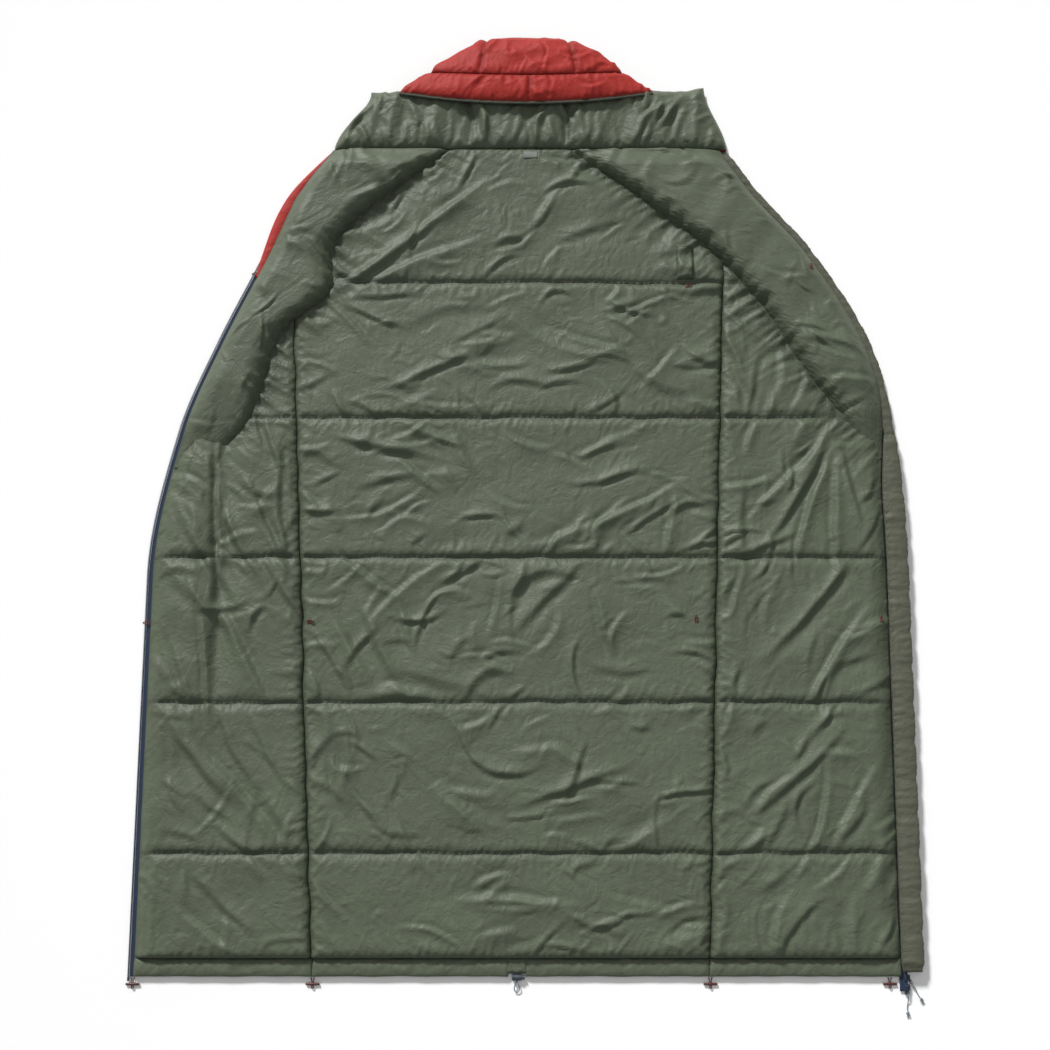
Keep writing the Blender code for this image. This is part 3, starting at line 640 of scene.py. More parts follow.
# ---------------------------------------------------------------- meshes
def new_mesh(name: str, points: np.ndarray, faces: np.ndarray, uv: np.ndarray | None = None,
             **attributes: np.ndarray) -> bpy.types.Object:
    """A smooth mesh object from whole arrays.

    Args:
        name: object name.
        points: N x 3.
        faces: M x 4 or M x 3 corner indices, outward.
        uv: N x 2, one place in the cloth's own plane for each point, in metres.
        attributes: one number for each point, by attribute name.

    Returns:
        The linked object.
    """
    points, faces = np.asarray(points, np.float32), np.asarray(faces, np.int32)
    sides = faces.shape[1]
    mesh = bpy.data.meshes.new(name)
    mesh.vertices.add(len(points))
    mesh.vertices.foreach_set("co", points.ravel())
    mesh.loops.add(faces.size)
    mesh.loops.foreach_set("vertex_index", faces.ravel())
    mesh.polygons.add(len(faces))
    mesh.polygons.foreach_set("loop_start", np.arange(0, faces.size, sides, dtype=np.int32))
    mesh.update(calc_edges=True)
    mesh.polygons.foreach_set("use_smooth", np.ones(len(faces), bool))
    if uv is not None:
        layer = mesh.uv_layers.new(name="cloth")
        layer.data.foreach_set("uv", np.asarray(uv, np.float32)[faces.ravel()].ravel())
    for key, values in attributes.items():
        mesh.attributes.new(key, "FLOAT", "POINT").data.foreach_set(
            "value", np.asarray(values, np.float32).ravel())
    obj = bpy.data.objects.new(name, mesh)
    bpy.context.scene.collection.objects.link(obj)
    return obj


def grid_faces(rows: int, columns: int, flip: bool = False, around: bool = False) -> np.ndarray:
    """Quads of a net whose points are numbered along its rows.

    Args:
        rows, columns: size of the net.
        flip: turn the faces over.
        around: join the last column to the first.

    Returns:
        M x 4 indices.
    """
    number = np.arange(rows * columns).reshape(rows, columns)
    if around:
        number = np.concatenate([number, number[:, :1]], axis=1)
    a, b, c, d = number[:-1, :-1], number[:-1, 1:], number[1:, 1:], number[1:, :-1]
    order = (d, c, b, a) if flip else (a, b, c, d)
    return np.stack([part.ravel() for part in order], -1)


def rim_of(shape: tuple[int, ...]) -> np.ndarray:
    """True on the outermost rows and columns of a net."""
    rim = np.zeros(shape, bool)
    rim[[0, -1]] = True
    rim[:, [0, -1]] = True
    return rim


def circle(count: int) -> np.ndarray:
    """Even angles round a circle, in radians."""
    return np.arange(count) * 2 * math.pi / count


def closed_pad(name: str, top: np.ndarray, bottom: np.ndarray, uv: np.ndarray,
               **attributes: np.ndarray) -> bpy.types.Object:
    """A closed pad from an upper and a lower net that share their rim.

    Args:
        name: object name.
        top: rows x columns x 3, faces up.
        bottom: the same size, faces down; its rim is taken from top.
        uv: rows x columns x 2.
        attributes: rows x columns each.

    Returns:
        The linked object.
    """
    rows, columns = top.shape[:2]
    number = np.arange(rows * columns).reshape(rows, columns)
    under = number + rows * columns
    rim = rim_of((rows, columns))
    under[rim] = number[rim]
    a, b, c, d = under[:-1, :-1], under[:-1, 1:], under[1:, 1:], under[1:, :-1]
    faces = np.concatenate([grid_faces(rows, columns), np.stack([p.ravel() for p in (d, c, b, a)], -1)])
    points = np.concatenate([top.reshape(-1, 3), bottom.reshape(-1, 3)])
    used, faces = np.unique(faces, return_inverse=True)
    both = {key: np.tile(np.ravel(value), 2)[used] for key, value in attributes.items()}
    flat = np.tile(uv.reshape(-1, 2), (2, 1))[used]
    return new_mesh(name, points[used], faces.reshape(-1, 4), flat, **both)


def ring_piece(name: str, rings: np.ndarray, uv: np.ndarray | None = None, flip: bool = False,
               **attributes: np.ndarray) -> bpy.types.Object:
    """A closed piece from rings of points, one behind the other, with each end closed over a middle point.

    Args:
        name: object name.
        rings: rows x columns x 3; each row is one ring.
        uv: rows x columns x 2.
        flip: turn all faces over.
        attributes: rows x columns each.

    Returns:
        The linked object.
    """
    rows, columns = rings.shape[:2]
    faces = grid_faces(rows, columns, flip=flip, around=True)
    points = rings.reshape(-1, 3)
    number = np.arange(columns)
    after = np.roll(number, -1)
    ends = []
    for k, (row, turned) in enumerate(((0, not flip), (rows - 1, flip))):
        middle = np.full(columns, rows * columns + k)
        a, b = row * columns + number, row * columns + after
        pair = (b, a) if turned else (a, b)
        ends.append(np.stack([pair[0], pair[1], middle], -1))
    points = np.concatenate([points, rings[[0, -1]].mean(1)])
    flat = None if uv is None else np.concatenate([uv.reshape(-1, 2), uv[[0, -1]].mean(1)])
    extra = {key: np.concatenate([np.ravel(value), np.asarray(value)[[0, -1]].mean(1)])
             for key, value in attributes.items()}
    triangles = np.concatenate([faces[:, [0, 1, 2]], faces[:, [0, 2, 3]], *ends])
    return new_mesh(name, points, triangles, flat, **extra)


def sweep(path: np.ndarray, radius: np.ndarray | float, sides: int, squash: float = 1.0,
          twist: float = 0.0, strands: int = 0, relief: float = 0.0) -> tuple[np.ndarray, np.ndarray]:
    """Rings round a path, with the relief of a braid.

    Args:
        path: N x 3.
        radius: of the tube, one number or one at each point.
        sides: points in a ring.
        squash: height of the section as a share of its width.
        twist: turns of the braid to the metre.
        strands: bumps round the section, 0 for a smooth tube.
        relief: depth of the bumps as a share of the radius.

    Returns:
        rings, N x sides x 3, and uv, N x sides x 2, in metres.
    """
    ways = np.gradient(path, axis=0)
    ways /= np.linalg.norm(ways, axis=1, keepdims=True) + 1e-12
    side = np.zeros_like(path)
    last = np.array([0.0, 0.0, 1.0]) if abs(ways[0, 2]) < 0.9 else np.array([0.0, 1.0, 0.0])
    for i, way in enumerate(ways):
        last = last - way * (last @ way)
        last /= np.linalg.norm(last)
        side[i] = last
    other = np.cross(ways, side)
    run = np.concatenate([[0], np.cumsum(np.linalg.norm(np.diff(path, axis=0), axis=1))])
    turn = circle(sides)
    size = np.broadcast_to(np.asarray(radius, float), len(path))[:, None] * np.ones(sides)
    if strands:
        phase = turn * strands - run[:, None] * twist * 2 * math.pi
        back = turn * strands + run[:, None] * twist * 2 * math.pi
        size = size * (1 + relief * np.maximum(np.sin(phase), np.sin(back)) - relief)
    rings = (path[:, None] + size[..., None] * (side[:, None] * np.sin(turn)[None, :, None] * squash
                                                + other[:, None] * np.cos(turn)[None, :, None]))
    mean = float(np.mean(radius))
    uv = np.stack([np.broadcast_to(turn * mean, (len(path), sides)),
                   np.broadcast_to(run[:, None], (len(path), sides))], -1)
    return rings, uv


def braid(name: str, path: np.ndarray, radius: float, finish: Finish, sides: int = 14,
          twist: float = 300.0) -> bpy.types.Object:
    """A cord of four crossing strands along a path.

    Args:
        name: object name.
        path: N x 3, its middle line.
        radius: of the cord.
        finish: its finish.
        sides: points round it.
        twist: turns of the strands to the metre.

    Returns:
        The linked object.
    """
    rings, uv = sweep(path, radius, sides, twist=twist, strands=4, relief=0.10)
    obj = ring_piece(name, rings, uv)
    obj.data.materials.append(finish.material())
    return obj


def smooth_path(points: Sequence[Sequence[float]], step: float) -> np.ndarray:
    """A Catmull-Rom curve.

    Args:
        points: that it goes through.
        step: about how far apart its own points are.

    Returns:
        N x 3.
    """
    spots = np.array(points, float)
    spots = np.concatenate([[2 * spots[0] - spots[1]], spots, [2 * spots[-1] - spots[-2]]])
    made = []
    for a, b, c, d in zip(spots, spots[1:], spots[2:], spots[3:]):
        count = max(1, round(float(np.linalg.norm(c - b)) / step))
        t = (np.arange(count) / count)[:, None]
        made.append(0.5 * (2 * b + (c - a) * t + (2 * a - 5 * b + 4 * c - d) * t * t
                           + (3 * b - a - 3 * c + d) * t ** 3))
    return np.concatenate([*made, spots[-2:-1]])


def stitches(name: str, paths: Sequence[np.ndarray], pitch: float = 0.0036, length: float = 0.0027,
             radius: float = 0.00030) -> bpy.types.Object:
    """Lockstitches as small rounded threads along paths.

    Args:
        name: object name.
        paths: each N x 3, the seam line that the thread lies on.
        pitch: from one stitch to the next.
        length: of the thread that shows.
        radius: of the thread.

    Returns:
        The linked object.
    """
    middles, ways = [], []
    for path in paths:
        run = np.concatenate([[0], np.cumsum(np.linalg.norm(np.diff(path, axis=0), axis=1))])
        at = np.arange(pitch / 2, run[-1], pitch)
        spot = np.stack([np.interp(at, run, path[:, k]) for k in range(3)], -1)
        ahead = np.stack([np.interp(at + pitch / 4, run, path[:, k]) for k in range(3)], -1)
        behind = np.stack([np.interp(at - pitch / 4, run, path[:, k]) for k in range(3)], -1)
        way = ahead - behind
        middles.append(spot)
        ways.append(way / (np.linalg.norm(way, axis=1, keepdims=True) + 1e-12))
    middle, way = np.concatenate(middles), np.concatenate(ways)
    across = np.cross(way, [0.0, 0.0, 1.0])
    across /= np.linalg.norm(across, axis=1, keepdims=True) + 1e-12
    up = np.cross(across, way)
    shares = np.array([-0.5, -0.38, 0.0, 0.38, 0.5])
    sizes = np.array([0.25, 0.85, 1.0, 0.85, 0.25]) * radius
    lifts = np.array([-0.9, 0.1, 0.6, 0.1, -0.9]) * radius
    turn = circle(5)
    points = (middle[:, None, None] + way[:, None, None] * (shares * length)[None, :, None, None]
              + up[:, None, None] * (lifts[:, None] + sizes[:, None] * np.sin(turn))[None, :, :, None]
              + across[:, None, None] * (sizes[:, None] * np.cos(turn))[None, :, :, None])
    one = grid_faces(5, 5, around=True)
    faces = (one[None] + 25 * np.arange(len(middle))[:, None, None]).reshape(-1, 4)
    return new_mesh(name, points.reshape(-1, 3), faces)


# ---------------------------------------------------------------- materials
class Nodes:
    """Short-hand for building a node tree."""

    def __init__(self, name: str) -> None:
        """Starts a material with its Principled shader."""
        self.material = bpy.data.materials.new(name)
        self.material.use_nodes = True
        self.tree = self.material.node_tree
        self.shader = self.tree.nodes["Principled BSDF"]

    def add(self, kind: str, **settings: object) -> bpy.types.Node:
        """A node of that kind with the given settings.

        Args:
            kind: its type.
            settings: its properties, by name.

        Returns:
            The node.
        """
        node = self.tree.nodes.new(kind)
        for key, value in settings.items():
            setattr(node, key, value)
        return node

    def link(self, start: bpy.types.NodeSocket, end: bpy.types.NodeSocket) -> None:
        """Joins two sockets."""
        self.tree.links.new(start, end)

    def feed(self, value: object, socket: bpy.types.NodeSocket) -> None:
        """Sets a socket to a number or colour, or links it.

        Args:
            value: the number, colour or socket.
            socket: the input.
        """
        if isinstance(value, bpy.types.NodeSocket):
            self.link(value, socket)
        else:
            socket.default_value = value

    def math(self, operation: str, a: object, b: object = 0.0, clamp: bool = False) -> bpy.types.NodeSocket:
        """The result of a Math node.

        Args:
            operation: the node's own.
            a, b: numbers or sockets.
            clamp: hold the result to 0 to 1.

        Returns:
            The result.
        """
        node = self.add("ShaderNodeMath", operation=operation, use_clamp=clamp)
        self.feed(a, node.inputs[0])
        self.feed(b, node.inputs[1])
        return node.outputs[0]

    def mix(self, factor: object, a: object, b: object) -> bpy.types.NodeSocket:
        """A colour between a and b.

        Args:
            factor: 0 for a to 1 for b.
            a, b: colours or sockets.

        Returns:
            The colour.
        """
        node = self.add("ShaderNodeMix", data_type="RGBA")
        self.feed(factor, node.inputs[0])
        self.feed(a, node.inputs[6])
        self.feed(b, node.inputs[7])
        return node.outputs[2]

    def scaled(self, vector: bpy.types.NodeSocket, scale: tuple[float, float, float]) -> bpy.types.NodeSocket:
        """A vector times a scale for each axis.

        Args:
            vector: the vector.
            scale: for x, y and z.

        Returns:
            The product.
        """
        node = self.add("ShaderNodeVectorMath", operation="MULTIPLY")
        self.link(vector, node.inputs[0])
        node.inputs[1].default_value = scale
        return node.outputs[0]

    def noise(self, vector: bpy.types.NodeSocket, scale: float, detail: float = 2.0,
              roughness: float = 0.5, distortion: float = 0.0) -> bpy.types.NodeSocket:
        """The value of a Noise texture.

        Args:
            vector: where.
            scale, detail, roughness, distortion: the texture's own.

        Returns:
            0 to 1.
        """
        node = self.add("ShaderNodeTexNoise")
        self.link(vector, node.inputs["Vector"])
        node.inputs["Scale"].default_value = scale
        node.inputs["Detail"].default_value = detail
        node.inputs["Roughness"].default_value = roughness
        node.inputs["Distortion"].default_value = distortion
        return node.outputs["Fac"]

    def wave(self, vector: bpy.types.NodeSocket, scale: float, direction: str,
             distortion: float = 0.0) -> bpy.types.NodeSocket:
        """The value of a Wave texture of sine bands.

        Args:
            vector: where.
            scale, direction, distortion: the texture's own.

        Returns:
            0 to 1.
        """
        node = self.add("ShaderNodeTexWave", wave_type="BANDS", bands_direction=direction, wave_profile="SIN")
        self.link(vector, node.inputs["Vector"])
        node.inputs["Scale"].default_value = scale
        node.inputs["Distortion"].default_value = distortion
        node.inputs["Detail"].default_value = 1.0
        return node.outputs["Fac"]

    def bump(self, height: object, strength: float, distance: float,
             normal: bpy.types.NodeSocket | None = None) -> bpy.types.NodeSocket:
        """A bumped normal.

        Args:
            height: a socket.
            strength: 0 to 1.
            distance: in metres, that a height of 1 stands for.
            normal: another bump to start from.

        Returns:
            The normal.
        """
        node = self.add("ShaderNodeBump")
        self.feed(height, node.inputs["Height"])
        node.inputs["Strength"].default_value = strength
        node.inputs["Distance"].default_value = distance
        if normal is not None:
            self.link(normal, node.inputs["Normal"])
        return node.outputs["Normal"]

    def attribute(self, name: str) -> bpy.types.NodeSocket:
        """A point attribute's value."""
        return self.add("ShaderNodeAttribute", attribute_name=name).outputs["Fac"]

    def places(self, own: bool) -> bpy.types.NodeSocket:
        """The cloth's own plane, or Object coordinates."""
        node = self.add("ShaderNodeTexCoord")
        return node.outputs["UV" if own else "Object"]

    def set(self, **inputs: object) -> None:
        """Feeds the shader's inputs; an underscore in a key stands for a space."""
        for key, value in inputs.items():
            self.feed(value, self.shader.inputs[key.replace("_", " ")])


@dataclass(frozen=True)
class Finish:
    """What a material is made of; each kind builds its own nodes."""

    name: str
    colour: tuple[float, float, float]
    roughness: float = 0.5

    def material(self) -> bpy.types.Material:
        """The material, made once."""
        found = bpy.data.materials.get("look_" + self.name)
        if found:
            return found
        nodes = Nodes("look_" + self.name)
        nodes.material.diffuse_color = (*self.colour, 1.0)
        self.build(nodes)
        return nodes.material

    def build(self, nodes: Nodes) -> None:
        """Fills the node tree; overridden by each kind of finish.

        Args:
            nodes: the material's nodes.
        """
        raise NotImplementedError

    def shade(self, factor: float) -> tuple[float, float, float, float]:
        """The colour times a factor."""
        return (*(min(1.0, c * factor) for c in self.colour), 1.0)


@dataclass(frozen=True)
class Taffeta(Finish):
    """Thin woven nylon with a satin sheen, fine creases, and painted shade in its dented seams and along its
    sewn edges.
    """

    sheen: float = 0.25
    threads: float = 1400.0     # threads to the metre
    crease: float = 0.7
    shine: float = 0.34

    def build(self, nodes: Nodes) -> None:
        """Weave and creases in the bump, patchy sheen, painted shade near the seams.

        Args:
            nodes: the material's nodes.
        """
        uv = nodes.places(True)
        seam = nodes.attribute("seam")
        # near is 1 on a seam and 0 from about 11 mm off it; it paints shade into the colour and sets the seam
        # puckers in the bump
        near = nodes.math("SUBTRACT", 1.0, nodes.math("MULTIPLY", seam, 90.0, clamp=True), clamp=True)
        patches = nodes.noise(uv, 5.0, 3.0, 0.55)
        fine = nodes.noise(uv, 60.0, 3.0, 0.6)
        tone = nodes.math("ADD", nodes.math("MULTIPLY", patches, 0.5), nodes.math("MULTIPLY", fine, 0.5))
        colour = nodes.mix(tone, self.shade(0.74), self.shade(1.26))
        # Painted shade: near a seam the colour is drawn towards 0.45 times the base colour, standing in for
        # the shade in the dents and hollows
        colour = nodes.mix(nodes.math("MULTIPLY", near, 0.55), colour, self.shade(0.45))
        slubs = nodes.noise(nodes.scaled(uv, (900.0, 30.0, 1.0)), 1.0, 1.0)
        rough = nodes.math("ADD", self.roughness - 0.06, nodes.math("MULTIPLY", slubs, 0.12))
        warp = nodes.wave(uv, self.threads / 6.2832, "X")
        weft = nodes.wave(uv, self.threads / 6.2832, "Y")
        weave = nodes.math("MULTIPLY", warp, weft)
        soft = nodes.noise(uv, 34.0, 4.0, 0.62, 0.6)
        ridged = nodes.math("ABSOLUTE", nodes.math("SUBTRACT", nodes.noise(uv, 17.0, 2.0, 0.5, 0.9), 0.5))
        puckers = nodes.math("MULTIPLY", near, nodes.noise(uv, 160.0, 2.0, 0.5))
        sharp = nodes.math("ABSOLUTE", nodes.math("SUBTRACT", nodes.noise(uv, 44.0, 3.0, 0.55, 0.8), 0.5))
        creased = nodes.bump(soft, self.crease, 0.0024)
        creased = nodes.bump(ridged, self.crease, 0.0060, creased)
        creased = nodes.bump(sharp, self.crease, 0.0030, creased)
        creased = nodes.bump(puckers, 0.8, 0.0020, creased)
        nodes.set(Base_Color=colour, Roughness=rough, Specular_IOR_Level=self.shine,
                  Sheen_Weight=self.sheen, Sheen_Roughness=0.35,
                  Sheen_Tint=self.shade(3.2),
                  Normal=nodes.bump(weave, 0.25, 0.00012, creased))


@dataclass(frozen=True)
class Webbing(Finish):
    """Narrow woven tape: a close twill with slightly uneven yarns."""

    def build(self, nodes: Nodes) -> None:
        """Twill ribs in colour and bump.

        Args:
            nodes: the material's nodes.
        """
        uv = nodes.places(True)
        rib = nodes.wave(uv, 210.0, "DIAGONAL", 0.4)
        fuzz = nodes.noise(uv, 1400.0, 2.0)
        wear = nodes.noise(uv, 40.0, 3.0)
        tone = nodes.math("ADD", nodes.math("MULTIPLY", rib, 0.5), nodes.math("MULTIPLY", wear, 0.5))
        nodes.set(Base_Color=nodes.mix(tone, self.shade(0.7), self.shade(1.35)), Roughness=self.roughness,
                  Specular_IOR_Level=0.3, Sheen_Weight=0.2, Sheen_Roughness=0.4,
                  Normal=nodes.bump(fuzz, 0.3, 0.0001, nodes.bump(rib, 0.5, 0.00018)))


@dataclass(frozen=True)
class Moulded(Finish):
    """Moulded plastic or enamelled die casting, finely grained and a little scuffed."""

    def build(self, nodes: Nodes) -> None:
        """Grain in the bump, scuffs in the roughness.

        Args:
            nodes: the material's nodes.
        """
        place = nodes.places(False)
        grain = nodes.noise(place, 2600.0, 2.0)
        scuff = nodes.noise(place, 260.0, 4.0, 0.65)
        rough = nodes.math("ADD", self.roughness - 0.10, nodes.math("MULTIPLY", scuff, 0.22))
        nodes.set(Base_Color=nodes.mix(scuff, self.shade(0.82), self.shade(1.22)), Roughness=rough,
                  Specular_IOR_Level=0.5, Normal=nodes.bump(grain, 0.18, 0.00006))


@dataclass(frozen=True)
class Steel(Finish):
    """Drawn spring steel."""

    def build(self, nodes: Nodes) -> None:
        """Fine drawing marks.

        Args:
            nodes: the material's nodes.
        """
        place = nodes.places(False)
        marks = nodes.noise(nodes.scaled(place, (300.0, 4000.0, 4000.0)), 1.0, 2.0)
        nodes.set(Base_Color=nodes.mix(marks, self.shade(0.85), self.shade(1.1)), Metallic=1.0,
                  Roughness=nodes.math("ADD", self.roughness - 0.08, nodes.math("MULTIPLY", marks, 0.16)),
                  Normal=nodes.bump(marks, 0.15, 0.00003))


@dataclass(frozen=True)
class Braid(Finish):
    """Braided cord: crossing yarns over the modelled strands."""

    def build(self, nodes: Nodes) -> None:
        """Crossed bands and fuzz.

        Args:
            nodes: the material's nodes.
        """
        uv = nodes.places(True)
        one = nodes.wave(uv, 330.0, "DIAGONAL", 0.3)
        two = nodes.wave(nodes.scaled(uv, (-1.0, 1.0, 1.0)), 330.0, "DIAGONAL", 0.3)
        yarn = nodes.math("MAXIMUM", one, two)
        fuzz = nodes.noise(uv, 2500.0, 2.0)
        nodes.set(Base_Color=nodes.mix(yarn, self.shade(0.55), self.shade(1.3)), Roughness=self.roughness,
                  Specular_IOR_Level=0.25, Sheen_Weight=0.25, Sheen_Roughness=0.5,
                  Normal=nodes.bump(fuzz, 0.4, 0.0001, nodes.bump(yarn, 0.5, 0.00015)))


@dataclass(frozen=True)
class Thread(Finish):
    """Twisted polyester sewing thread."""

    def build(self, nodes: Nodes) -> None:
        """A fine twist.

        Args:
            nodes: the material's nodes.
        """
        place = nodes.places(False)
        twist = nodes.wave(place, 600.0, "DIAGONAL")
        nodes.set(Base_Color=nodes.mix(twist, self.shade(0.7), self.shade(1.3)), Roughness=self.roughness,
                  Sheen_Weight=0.2, Normal=nodes.bump(twist, 0.3, 0.00005))


LINING = Taffeta("lining_satin", (0.088, 0.106, 0.069), 0.54)
EDGING = Taffeta("edging_taffeta", (0.090, 0.094, 0.066), 0.58, 0.15)
SHELL = Taffeta("shell_taffeta", (0.345, 0.026, 0.020), 0.60, 0.10, crease=0.6, shine=0.20)
TAPE = Webbing("zip_tape_navy", (0.016, 0.030, 0.062), 0.72)
BINDING = Webbing("binding_olive", (0.060, 0.064, 0.046), 0.75)
LABEL = Webbing("label_grey", (0.17, 0.18, 0.16), 0.7)
COIL = Moulded("coil_navy", (0.018, 0.030, 0.058), 0.38)
TOGGLE = Moulded("toggle_brown", (0.070, 0.018, 0.014), 0.42)
LOCK = Moulded("lock_navy", (0.040, 0.052, 0.068), 0.44)
HARDWARE = Moulded("slider_enamel", (0.020, 0.030, 0.052), 0.30)
STEEL = Steel("spring_steel", (0.58, 0.58, 0.57), 0.28)
CORD_GREY = Braid("cord_grey", (0.17, 0.21, 0.25), 0.78)
CORD_GREY_SOLID = Moulded("cord_grey_knot", (0.17, 0.21, 0.25), 0.85)
CORD_BROWN = Braid("cord_brown", (0.085, 0.018, 0.014), 0.8)
THREAD_DARK = Thread("thread_dark", (0.040, 0.048, 0.034), 0.6)
THREAD_BROWN = Thread("thread_brown", (0.10, 0.018, 0.014), 0.6)
THREAD_NAVY = Thread("thread_navy", (0.016, 0.026, 0.050), 0.6)


# ---------------------------------------------------------------- the bag's place
@dataclass(frozen=True)
class Bag:
    """What every sub-assembly needs: the pattern, and where it lies in the frame."""

    pattern: Pattern
    shift: tuple[float, float]

    @classmethod
    def placed(cls) -> Bag:
        lock_low, lock_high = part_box("cord_lock_body")
        hem_low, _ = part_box("left_front_hem")
        return cls(Pattern(), ((lock_low.x + lock_high.x) / 2 - HEM_MOUTH_X, hem_low.y))

    def place(self, points: np.ndarray) -> np.ndarray:
        """Pattern points in the row frame.

        Args:
            points: ... x 3, in the pattern.

        Returns:
            The same size, in the row frame.
        """
        moved = np.array(points, float)
        moved[..., 0] += self.shift[0]
        moved[..., 1] += self.shift[1]
        return moved

    def sewn(self, points: np.ndarray) -> np.ndarray:
        """Like place, with the slight wander of sewn cloth away from the edges.

        Args:
            points: ... x 3, in the pattern.

        Returns:
            The same size, in the row frame.
        """
        x, y = points[..., 0], points[..., 1]
        edge = np.where(x < 0, self.pattern.edge(Side.LEFT, y), self.pattern.edge(Side.RIGHT, y)) - np.abs(x)
        free = smoothstep(0.06, 0.12, edge) * smoothstep(HEM_DEPTH + 0.01, HEM_DEPTH + 0.06, y) \
            * smoothstep(BODY_LENGTH - 0.01, BODY_LENGTH - 0.06, y)
        wander = Noise(307)
        moved = np.stack([0.0030 * free * wander(x / 0.07 + 11, y / 0.055),
                          0.0032 * free * wander(x / 0.055, y / 0.07 + 5), np.zeros_like(x)], -1)
        return self.place(points) + moved

    def bend(self, obj: bpy.types.Object, side: Side) -> None:
        """Works out the strip beside a front's fold line, square to it, and bakes the piece's transform into
        its mesh; the piece is not bent.

        Args:
            obj: the piece.
            side: the front's side.
        """
        hem = np.array([side.value * float(self.pattern.fold(side, 0.0)), 0.0])
        neck = np.array([side.value * float(self.pattern.fold(side, BODY_LENGTH)), BODY_LENGTH])
        way = (neck - hem) / np.linalg.norm(neck - hem)
        out = np.array([way[1], -way[0]]) * side.value
        start, end = (tuple(map(float, self.place(np.array([*(hem + out * reach), 0.0]))))
                      for reach in FOLD_BLEND)
        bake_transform(obj)


def steps(coarse: int, fine: int) -> tuple[int, int]:
    return ((coarse, fine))


def segments(stops: Sequence[float], cell: float) -> np.ndarray:
    """Rising numbers about a cell apart that hit every stop, an even count between stops.

    Args:
        stops: rising.
        cell: the wanted step.

    Returns:
        The numbers, both ends included.
    """
    made = [np.linspace(a, b, 2 * max(1, round((b - a) / cell / 2)) + 1)[:-1]
            for a, b in zip(stops, stops[1:])]
    return np.concatenate([*made, [stops[-1]]])


def pillow(distance: np.ndarray, reach: float, power: float = 2.4) -> np.ndarray:
    """Rise of stuffed cloth from 0 at a seam to 1 at reach."""
    return 1 - (1 - np.clip(distance / reach, 0, 1)) ** power


# Long folds that pull from the shoulders and the seams, as such a bag shows when it is laid out.
BACK_FOLDS = (
    ray(-0.42, 1.400, 38, 0.02, 0.30, 0.015, 0.0080, 0.6),
    ray(-0.42, 1.400, 24, 0.03, 0.34, 0.017, 0.0075, 0.9, -1),
    ray(-0.42, 1.400, 4, 0.02, 0.20, 0.010, 0.0050, -0.6),
    ray(-0.42, 1.400, -22, 0.02, 0.17, 0.010, 0.0060, 0.8),
    ray(-0.42, 1.400, -48, 0.01, 0.13, 0.009, 0.0050, 0.5, -1),
    ray(-0.05, 1.690, 218, 0.02, 0.26, 0.018, 0.0075, -0.8),
    ray(0.10, 1.690, 238, 0.02, 0.18, 0.012, 0.0050, 0.6, -1),
    ray(0.355, 1.420, 200, 0.02, 0.15, 0.011, 0.0055, 0.8),
    ray(0.355, 1.000, 205, 0.01, 0.30, 0.013, 0.0075, -1.1),
    ray(0.350, 0.985, 214, 0.02, 0.17, 0.009, 0.0055, -0.9, -1),
    ray(-0.43, 1.100, -12, 0.01, 0.26, 0.014, 0.0075, 0.7),
    ray(-0.42, 0.860, -35, 0.02, 0.19, 0.011, 0.0060, -0.6, -1),
    Fold(-0.30, 0.660, math.radians(-64), 0.25, 0.020, 0.0085, 0.6),
    Fold(-0.36, 0.650, math.radians(-60), 0.24, 0.016, 0.0070, -0.4, 0.6, -1),
    Fold(-0.25, 0.700, math.radians(-72), 0.17, 0.012, 0.0055, 0.5),
    Fold(0.16, 0.700, math.radians(-78), 0.16, 0.013, 0.0065, 2.5),
    Fold(-0.33, 0.350, math.radians(-58), 0.20, 0.013, 0.0065, 0.8),
    Fold(0.10, 0.400, math.radians(70), 0.14, 0.012, 0.0060, 1.0),
    Fold(-0.20, 1.240, math.radians(25), 0.24, 0.012, 0.0065, 1.0),
    Fold(0.14, 1.300, math.radians(-16), 0.22, 0.013, 0.0060, -1.0, 0.5, -1),
)
LEFT_FOLDS = (
    Fold(-0.640, 0.950, math.radians(-87), 0.36, 0.022, 0.0120, 0.10, 0.25),
    Fold(-0.655, 0.620, math.radians(-84), 0.30, 0.018, 0.0080, -0.15, 0.25),
    Fold(-0.60, 0.880, math.radians(-60), 0.30, 0.018, 0.0085, 0.5),
    Fold(-0.54, 0.900, math.radians(-66), 0.26, 0.014, 0.0075, -0.6, 0.5, -1),
    Fold(-0.66, 0.840, math.radians(-56), 0.26, 0.016, 0.0080, 0.5),
    Fold(-0.49, 0.760, math.radians(-55), 0.22, 0.014, 0.0075, 0.8),
    Fold(-0.58, 0.640, math.radians(-62), 0.26, 0.017, 0.0085, 0.4, 0.5, -1),
    Fold(-0.66, 0.420, math.radians(-50), 0.26, 0.017, 0.0085, 0.9),
    Fold(-0.58, 0.360, math.radians(-48), 0.30, 0.015, 0.0075, 0.7, 0.5, -1),
    Fold(-0.52, 0.440, math.radians(-62), 0.18, 0.012, 0.0060, 0.5),
    Fold(-0.70, 0.600, math.radians(-70), 0.18, 0.013, 0.0065, 0.4),
    Fold(-0.60, 0.140, math.radians(-42), 0.20, 0.013, 0.0060, 0.8),
    Fold(-0.53, 1.080, math.radians(-70), 0.18, 0.013, 0.0070, 0.4),
)
